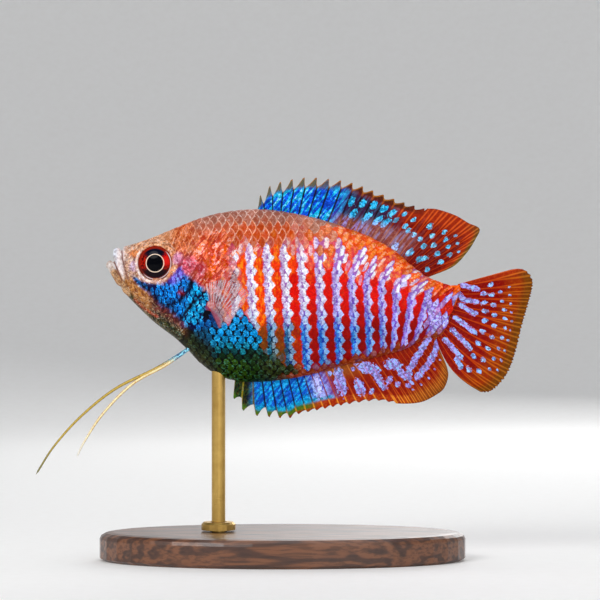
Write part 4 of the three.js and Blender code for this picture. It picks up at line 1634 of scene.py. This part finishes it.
# %% [markdown]
# The belly fin starts as a few dark green flags. Its front is blue, edged with cyan and green
# above red points, and the long rear part is orange-red with lilac bars that carry on the bars
# of the flank, broken into blots and slanting streaks.

# %% Belly fin
BLOTS = (  # centre, half length and width, slope in degrees
    ((6.0, 30.2), (2.0, 0.8), 100), ((10.1, 31.2), (2.5, 0.95), 105), ((13.5, 30.2), (1.5, 0.85), 110),
    ((15.0, 33.6), (2.1, 0.9), -12), ((16.8, 31.7), (1.8, 0.65), -62), ((19.3, 34.3), (1.6, 0.95), -12),
    ((20.7, 32.8), (1.4, 0.55), -62), ((18.6, 31.5), (0.8, 0.5), 60), ((17.9, 30.2), (0.5, 0.45), 60),
    ((20.2, 30.8), (0.5, 0.42), 60), ((22.0, 30.5), (0.45, 0.42), 60), ((15.6, 29.6), (0.6, 0.35), 60),
)
BLOT_ROWS = (  # path, how many, half length and width
    (((22.6, 31.0), (24.6, 33.4), (26.6, 36.2)), 6, (0.34, 0.26)),
    (((22.8, 29.8), (25.6, 31.8), (27.6, 35.0)), 5, (0.22, 0.16)),
    (((12.4, 33.4), (8.2, 32.6), (4.0, 31.6)), 5, (0.4, 0.3)),
)
STREAKS = (
    ((25.6, 38.8), (23.8, 36.0), (22.3, 33.7), (22.0, 31.9)),
    ((27.4, 38.4), (26.4, 35.9), (25.6, 34.4), (23.6, 32.0)),
)
STREAK_HALF = 0.54


def belly_fin_paint(ray, out, x, z, short):
    coat = Paint(len(ray), "0450C8", "040C30", "04A4EC", edged=0.8, shine=1, bars=0)
    lilac, rear = soft(ray, 7.5, 9.5), soft(ray, 9.8, 11.6)
    coat.lay(soft(ray, 2.4, 1.4), dark="06140E", light="8A7A14", band="2C5C20", edged=0.4)
    coat.lay(lilac, dark="5C68E4", light="8C2C50", band="B8B4FC", edged=0.7)
    coat.lay(rear, dark="8C1000", light="C04408", band="A498F0", edged=0)
    coat.lay(rear * soft(z, 31.0, 33.5) * soft(x, 16, 10), dark="9C4C14", light="C87C38")
    front = 1 - rear
    coat.lay(front * soft(short, 2.6, 2.0) * soft(ray, 1.6, 2.4), dark="0498C0", light="064468", edged=0.5)
    coat.lay(front * soft(short, 1.8, 1.3), dark="3C6C18", light="C08C18", edged=0)
    coat.lay(front * soft(short, 0.9, 0.5) * soft(ray, 1.5, 3), dark="8C2404", light="E89824")
    coat.lay(soft(ray, 7, 9) * soft(short, 1.9, 1.4), dark="A82806", light="F09028", edged=0)
    coat.lay(rear * soft(short, 3.2, 1.0) * soft(ray, 18, 22), dark="94400A", light="CC7420")
    coat.lay(rear * soft(short, 1.4, 0.2) * soft(ray, 20, 25), dark="74380C", light="B4661C")
    marks = [spot(x, z, centre, size, turn, 0.5) for centre, size, turn in BLOTS]
    marks += [arc_of_spots(x, z, path, count, size, (14, 42)) for path, count, size in BLOT_ROWS]
    coat.level["bars"] = np.maximum(np.maximum.reduce(marks), strokes(x, z, STREAKS, STREAK_HALF))
    return coat


fin_piece("belly_fin", BELLY_FIN["rays"], BELLY_FIN["spines"], 8, 44, spiny_fin_point(BELLY_FIN),
          belly_fin_paint, FIN_FINISH, ("anal_fin",))

# %% [markdown]
# The tail fin is a fan from the end of the stalk. Its skin is dark red, its rays are orange and
# split in two, and pale blue marks run out along it: bars at the base, then arcs of spots, each
# smaller than the last. The margin is plain brown and finely frayed.

# %% Tail fin
TAIL_RAYS = 16
TAIL_BULGE = 1.3
TAIL_RIPPLE = 0.16
TAIL_FRAY = ((0.011, 0), (0.007, 6), (0.004, 4.3))  # share of the reach, and half turns for each ray
TAIL_EDGE = ((0, 40.2, 50.9), (0.4, 41.8, 51.0), (0.9, 43.0, 50.4), (1.4, 43.7, 49.4), (2, 43.9, 48.2),
             (4.5, 43.1, 44.8), (7, 42.0, 41.0), (9.5, 40.9, 36.5), (12, 39.6, 32.9), (13.5, 38.0, 30.7),
             (15, 36.3, 29.4), (16, 34.7, 29.3))


def tail_fin_point():
    tip_x, tip_z = curves_of(TAIL_EDGE)
    middle, up, down, _ = section_parts(np.array(float(TAIL)))

    def point_at(ray, out):
        share = ray / TAIL_RAYS
        height = (up + 0.1) * (1 - share) + (-down - 0.3) * share
        root_x, root_z = TAIL - 0.5 + LEAN_MOST * height, middle + height
        x, z = tip_x(ray), tip_z(ray)
        long = np.hypot(x - root_x, z - root_z)
        across_x, across_z = (root_z - z) / long, (x - root_x) / long
        bow = -TAIL_BULGE * share**3 * np.sin(math.pi * out)
        frayed = sum(depth * np.cos(turns * math.pi * ray) for depth, turns in TAIL_FRAY)
        ripple = TAIL_RIPPLE * np.sin(2 * math.pi * ray) * out
        reach = out * (1 - frayed * soft(out, 0.8, 1))
        x, z = root_x + (x - root_x) * reach + across_x * bow, root_z + (z - root_z) * reach + across_z * bow
        return x, ripple, z, (1 - out) * long

    return point_at


TAIL_FAN = (27.5, 43.5)
TAIL_BARS = (
    ((31.4, 48.1), (34.0, 47.4)), ((30.2, 47.6), (31.6, 45.5), (34.0, 45.2)), ((31.2, 44.6), (33.7, 43.1)),
    ((30.2, 42.4), (33.7, 39.8)), ((29.7, 40.3), (32.8, 37.1)), ((28.4, 38.6), (31.2, 35.5)),
    ((30.4, 35.2), (31.2, 33.8)),
)
TAIL_BAR_HALF = 0.43
TAIL_ARCS = (  # path, how many spots, half length and width
    (((35.2, 46.6), (35.2, 41.0), (32.6, 33.4)), 8, (0.58, 0.4)),
    (((36.4, 48.2), (37.0, 41.0), (34.4, 33.0)), 9, (0.5, 0.36)),
    (((38.2, 46.9), (38.9, 40.6), (36.2, 33.4)), 9, (0.38, 0.28)),
    (((39.6, 47.8), (40.0, 41.0), (37.6, 33.2)), 10, (0.24, 0.2)),
)


def tail_fin_paint(ray, out, x, z, short):
    coat = Paint(len(ray), "880200", "C03C04", "A89CF4", edged=0, shine=1, bars=0)
    coat.lay(soft(short, 9.5, 7.0), band="8CB4FA")
    coat.lay(soft(short, 6.0, 3.4), dark="982C02", light="C45C0C")
    coat.lay(soft(short, 2.6, 0.8), dark="743C06", light="A86214")
    coat.lay(soft(ray, 1.2, 0.2), dark="A82806", light="E86C28")
    marks = [arc_of_spots(x, z, *arc, TAIL_FAN) for arc in TAIL_ARCS]
    marks.append(strokes(x, z, TAIL_BARS, TAIL_BAR_HALF))
    coat.level["bars"] = np.maximum.reduce(marks)
    return coat


fin_piece("tail_fin", TAIL_RAYS, 0, 12, 60, tail_fin_point(), tail_fin_paint,
          FIN_FINISH, ("caudal_fin",))

# %% [markdown]
# The side fins are the ones a gourami rows with. They are nearly clear, so that the flank shows
# through between fine pale rays. Alpha does that: it is low in the skin and high on the rays. They
# need no paint on their points, since their finish knows its few tones.

# %% Side fins
SIDE_RAYS = 15
SIDE_START, SIDE_FLARE, SIDE_CURVE = 5.15, 2.3, 0.7
SIDE_ROOT = ((-12.3, 43.3), (-11.0, 40.6))
SIDE_EDGE = ((0, -13.2, 48.3), (0.25, -10.1, 49.0), (0.5, -6.8, 47.6), (0.65, -5.9, 46.3),
             (0.85, -7.3, 43.9), (1, -8.9, 41.9))


def side_fin_point(side):
    tip_x, tip_z = curves_of(SIDE_EDGE)

    def point_at(ray, out):
        share = ray / SIDE_RAYS
        root_x, root_z = (first * (1 - share) + last * share for first, last in zip(*SIDE_ROOT))
        ripple = FIN_SWAY * np.sin(2 * math.pi * ray) * out
        y = side * (SIDE_START + SIDE_FLARE * np.clip(out, 0, 1) ** SIDE_CURVE + ripple)
        x, z = root_x + (tip_x(share) - root_x) * out, root_z + (tip_z(share) - root_z) * out
        return x, y, z, 1 - out

    return point_at


def side_fin_finish():
    material, tree, shader = new_finish(
        "clear_fin_skin", Coat_Weight=0.2, Coat_Roughness=0.1, Specular_IOR_Level=0.12)
    _, out, ridge = parts_of(painted(tree, "rays"))
    fine = noise(place_in_mm(tree), 2.2, 3)
    on_ray = ease(ridge, 0.3, 0.9)
    base = ease(fine * 0.12 + out, 0.27, 0.15)
    tone = blend(fine, paint("C89494"), paint("C8CCE8"))
    tone = blend(on_ray * 0.9, tone, paint("F0EEF8"))
    tone = blend(base, tone, blend(fine, paint("8A2C48"), paint("C0708C")))
    solid = on_ray * (0.6 - out * 0.3) + fine * 0.06
    set_inputs(
        shader,
        Base_Color=tone,
        Alpha=calc("MAXIMUM", solid, base * 0.95),
        Roughness=fine * 0.3 + 0.15,
        Normal=raised(fine, 0.03, 0.5),
    )
    return material


SIDE_FINISH = side_fin_finish()
for side, name in ((-1, "left"), (1, "right")):
    fin_piece("side_fin_" + name, SIDE_RAYS, 0, 8, 30, side_fin_point(side), None,
              SIDE_FINISH, ("pectoral_fin_" + name,))

# %% [markdown]
# The two feelers are belly fins drawn out to a single ray each. They are threads, made as the body
# was: a globe whose rings are strung along a curve. The left one is painted bright, blue-white at the
# root and orange after, and the right one, further from the light, is painted darker and more olive,
# as painted shade. Each has a painted highlight along one side.

# %% Feelers
FEELERS = {
    "left": ((-15.2, -0.7, 37.8), (-20.3, -1.6, 34.2), (-26.1, -2.7, 30.9), (-31.2, -3.9, 25.7),
             (-34.4, -4.8, 20.8), (-35.6, -5.2, 18.3)),
    "right": ((-15.2, 0.7, 37.8), (-21.6, 2.0, 33.8), (-29.4, 3.8, 29.9), (-35.7, 5.4, 24.9),
              (-40.6, 6.6, 19.5), (-43.9, 7.3, 14.4)),
}
FEELER_ROOT, FEELER_TIP = 0.31, 0.16
TIP_ROUND = 12
JOINT_RISE, JOINTS = 0.04, 260


def thread(path, rings=150, around=16):
    """A globe with its rings strung along a path, thinner towards the tip and faintly jointed."""
    path = np.array(path)
    steps = np.concatenate([[0], np.cumsum(np.linalg.norm(np.diff(path, axis=0), axis=1) ** 0.5)])
    curves = curves_of(np.column_stack([steps, path]))
    bm = bmesh.new()
    bmesh.ops.create_uvsphere(bm, u_segments=around, v_segments=rings, radius=1)
    ball = vertex_array(bm)
    share = np.arccos(np.clip(ball[:, 2], -1, 1)) / math.pi
    before, centre, after = (
        np.column_stack([curve(share * steps[-1] + shift) for curve in curves]) for shift in (-0.01, 0, 0.01)
    )
    ahead = unit(after - before)
    sideways = unit(np.cross(ahead, [0, 1, 0]))
    upward = np.cross(sideways, ahead)
    radius = FEELER_ROOT + (FEELER_TIP - FEELER_ROOT) * share
    radius *= np.minimum(1, np.hypot(ball[:, 0], ball[:, 1]) * TIP_ROUND)
    radius *= 1 + JOINT_RISE * np.sin(share * JOINTS)
    angle = np.arctan2(ball[:, 1], ball[:, 0])
    around_centre = sideways * np.cos(angle)[:, None] + upward * np.sin(angle)[:, None]
    move_vertices(bm, centre + around_centre * radius[:, None])
    bmesh.ops.recalc_face_normals(bm, faces=bm.faces)
    mesh = mesh_from(bm, "feeler")
    put_vector(mesh, "reach", np.column_stack([share, angle, radius]))
    return mesh


def feeler_finish(name, root, body, core, tip):
    """The four tones are those of the root's scales, the thread, a painted highlight along its lit side, and
    the tip.
    """
    material, tree, shader = new_finish(name, Coat_Weight=0.4, Coat_Roughness=0.1)
    share, angle, _ = parts_of(painted(tree, "reach"))
    place = place_in_mm(tree)
    fine, facet = noise(place, 3, 3), flecks(place, 4.5)
    # A painted highlight: the core tone is laid along one side of the thread, by its angle round it.
    lit = ease(fine * 1.2 + calc("COSINE", angle + 1.6), 1, 1.7)
    tone = blend(lit, paint(body), paint(core))
    scaled = blend(ease(facet, 0.3, 0.5), paint("0C3C7C"), paint(root))
    tone = blend(ease(fine * 0.08 + share, 0.24, 0.16), tone, scaled)
    tone = blend(ease(share, 0.72, 1), tone, paint(tip))
    set_inputs(shader, Base_Color=tone, Roughness=fine * 0.3 + 0.25, Normal=raised(fine, 0.04, 0.6))
    return material


# The right feeler's darker, more olive tones are painted shade, since it lies further from the light.
FEELER_FINISH = {
    "left": feeler_finish("orange_thread", "8CE0F8", "D88C14", "FFF4B8", "F0ECE0"),
    "right": feeler_finish("shaded_olive_thread", "6CBCC8", "86680C", "D0B040", "7C7840"),
}
for name, path in FEELERS.items():
    piece_from(thread(path), "feeler_" + name, FEELER_FINISH[name], ("pelvic_feeler_" + name,))

# %% [markdown]
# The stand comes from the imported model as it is, so only its finishes are made here. Walnut is
# long fibres with darker pores, which two stretched noises give. The rod and collar are brass
# turned on a lathe, so their fine scratches run round them.

# %% Stand
def walnut():
    material, tree, shader = new_finish("walnut", Coat_Weight=0.35, Coat_Roughness=0.2)
    wave = noise(place_in_mm(tree, stretch=(9, 1, 1)), 0.16, 3, 0.6)
    fibre = noise(place_in_mm(tree, stretch=(14, 1, 1)), 2.2, 3, 0.6)
    bands = calc("SINE", wave * 46)
    tone = blend(ease(bands, -0.9, 0.9), paint("4A2A1A"), paint("7A4A2C"))
    tone = blend(ease(fibre, 0.45, 0.62) * 0.5, tone, paint("2E180E"))
    set_inputs(shader, Base_Color=tone, Roughness=fibre * 0.3 + 0.22, Normal=raised(fibre, 0.05, 0.4))
    return material


def turned_brass():
    material, tree, shader = new_finish("turned_brass", Metallic=1.0)
    scratch = noise(place_in_mm(tree, stretch=(4, 4, 0.12)), 1.2, 2)
    tone = blend(noise(place_in_mm(tree), 0.5, 3), paint("A8823E"), paint("D8B468"))
    set_inputs(shader, Base_Color=tone, Roughness=scratch * 0.25 + 0.2, Normal=raised(scratch, 0.02, 0.4))
    return material


WALNUT, BRASS = walnut(), turned_brass()
for node, finish in (("stand_base", WALNUT), ("stand_rod", BRASS), ("stand_collar", BRASS)):
    for material_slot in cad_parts[node].material_slots:
        material_slot.material = finish
print("stand finished in walnut and brass")
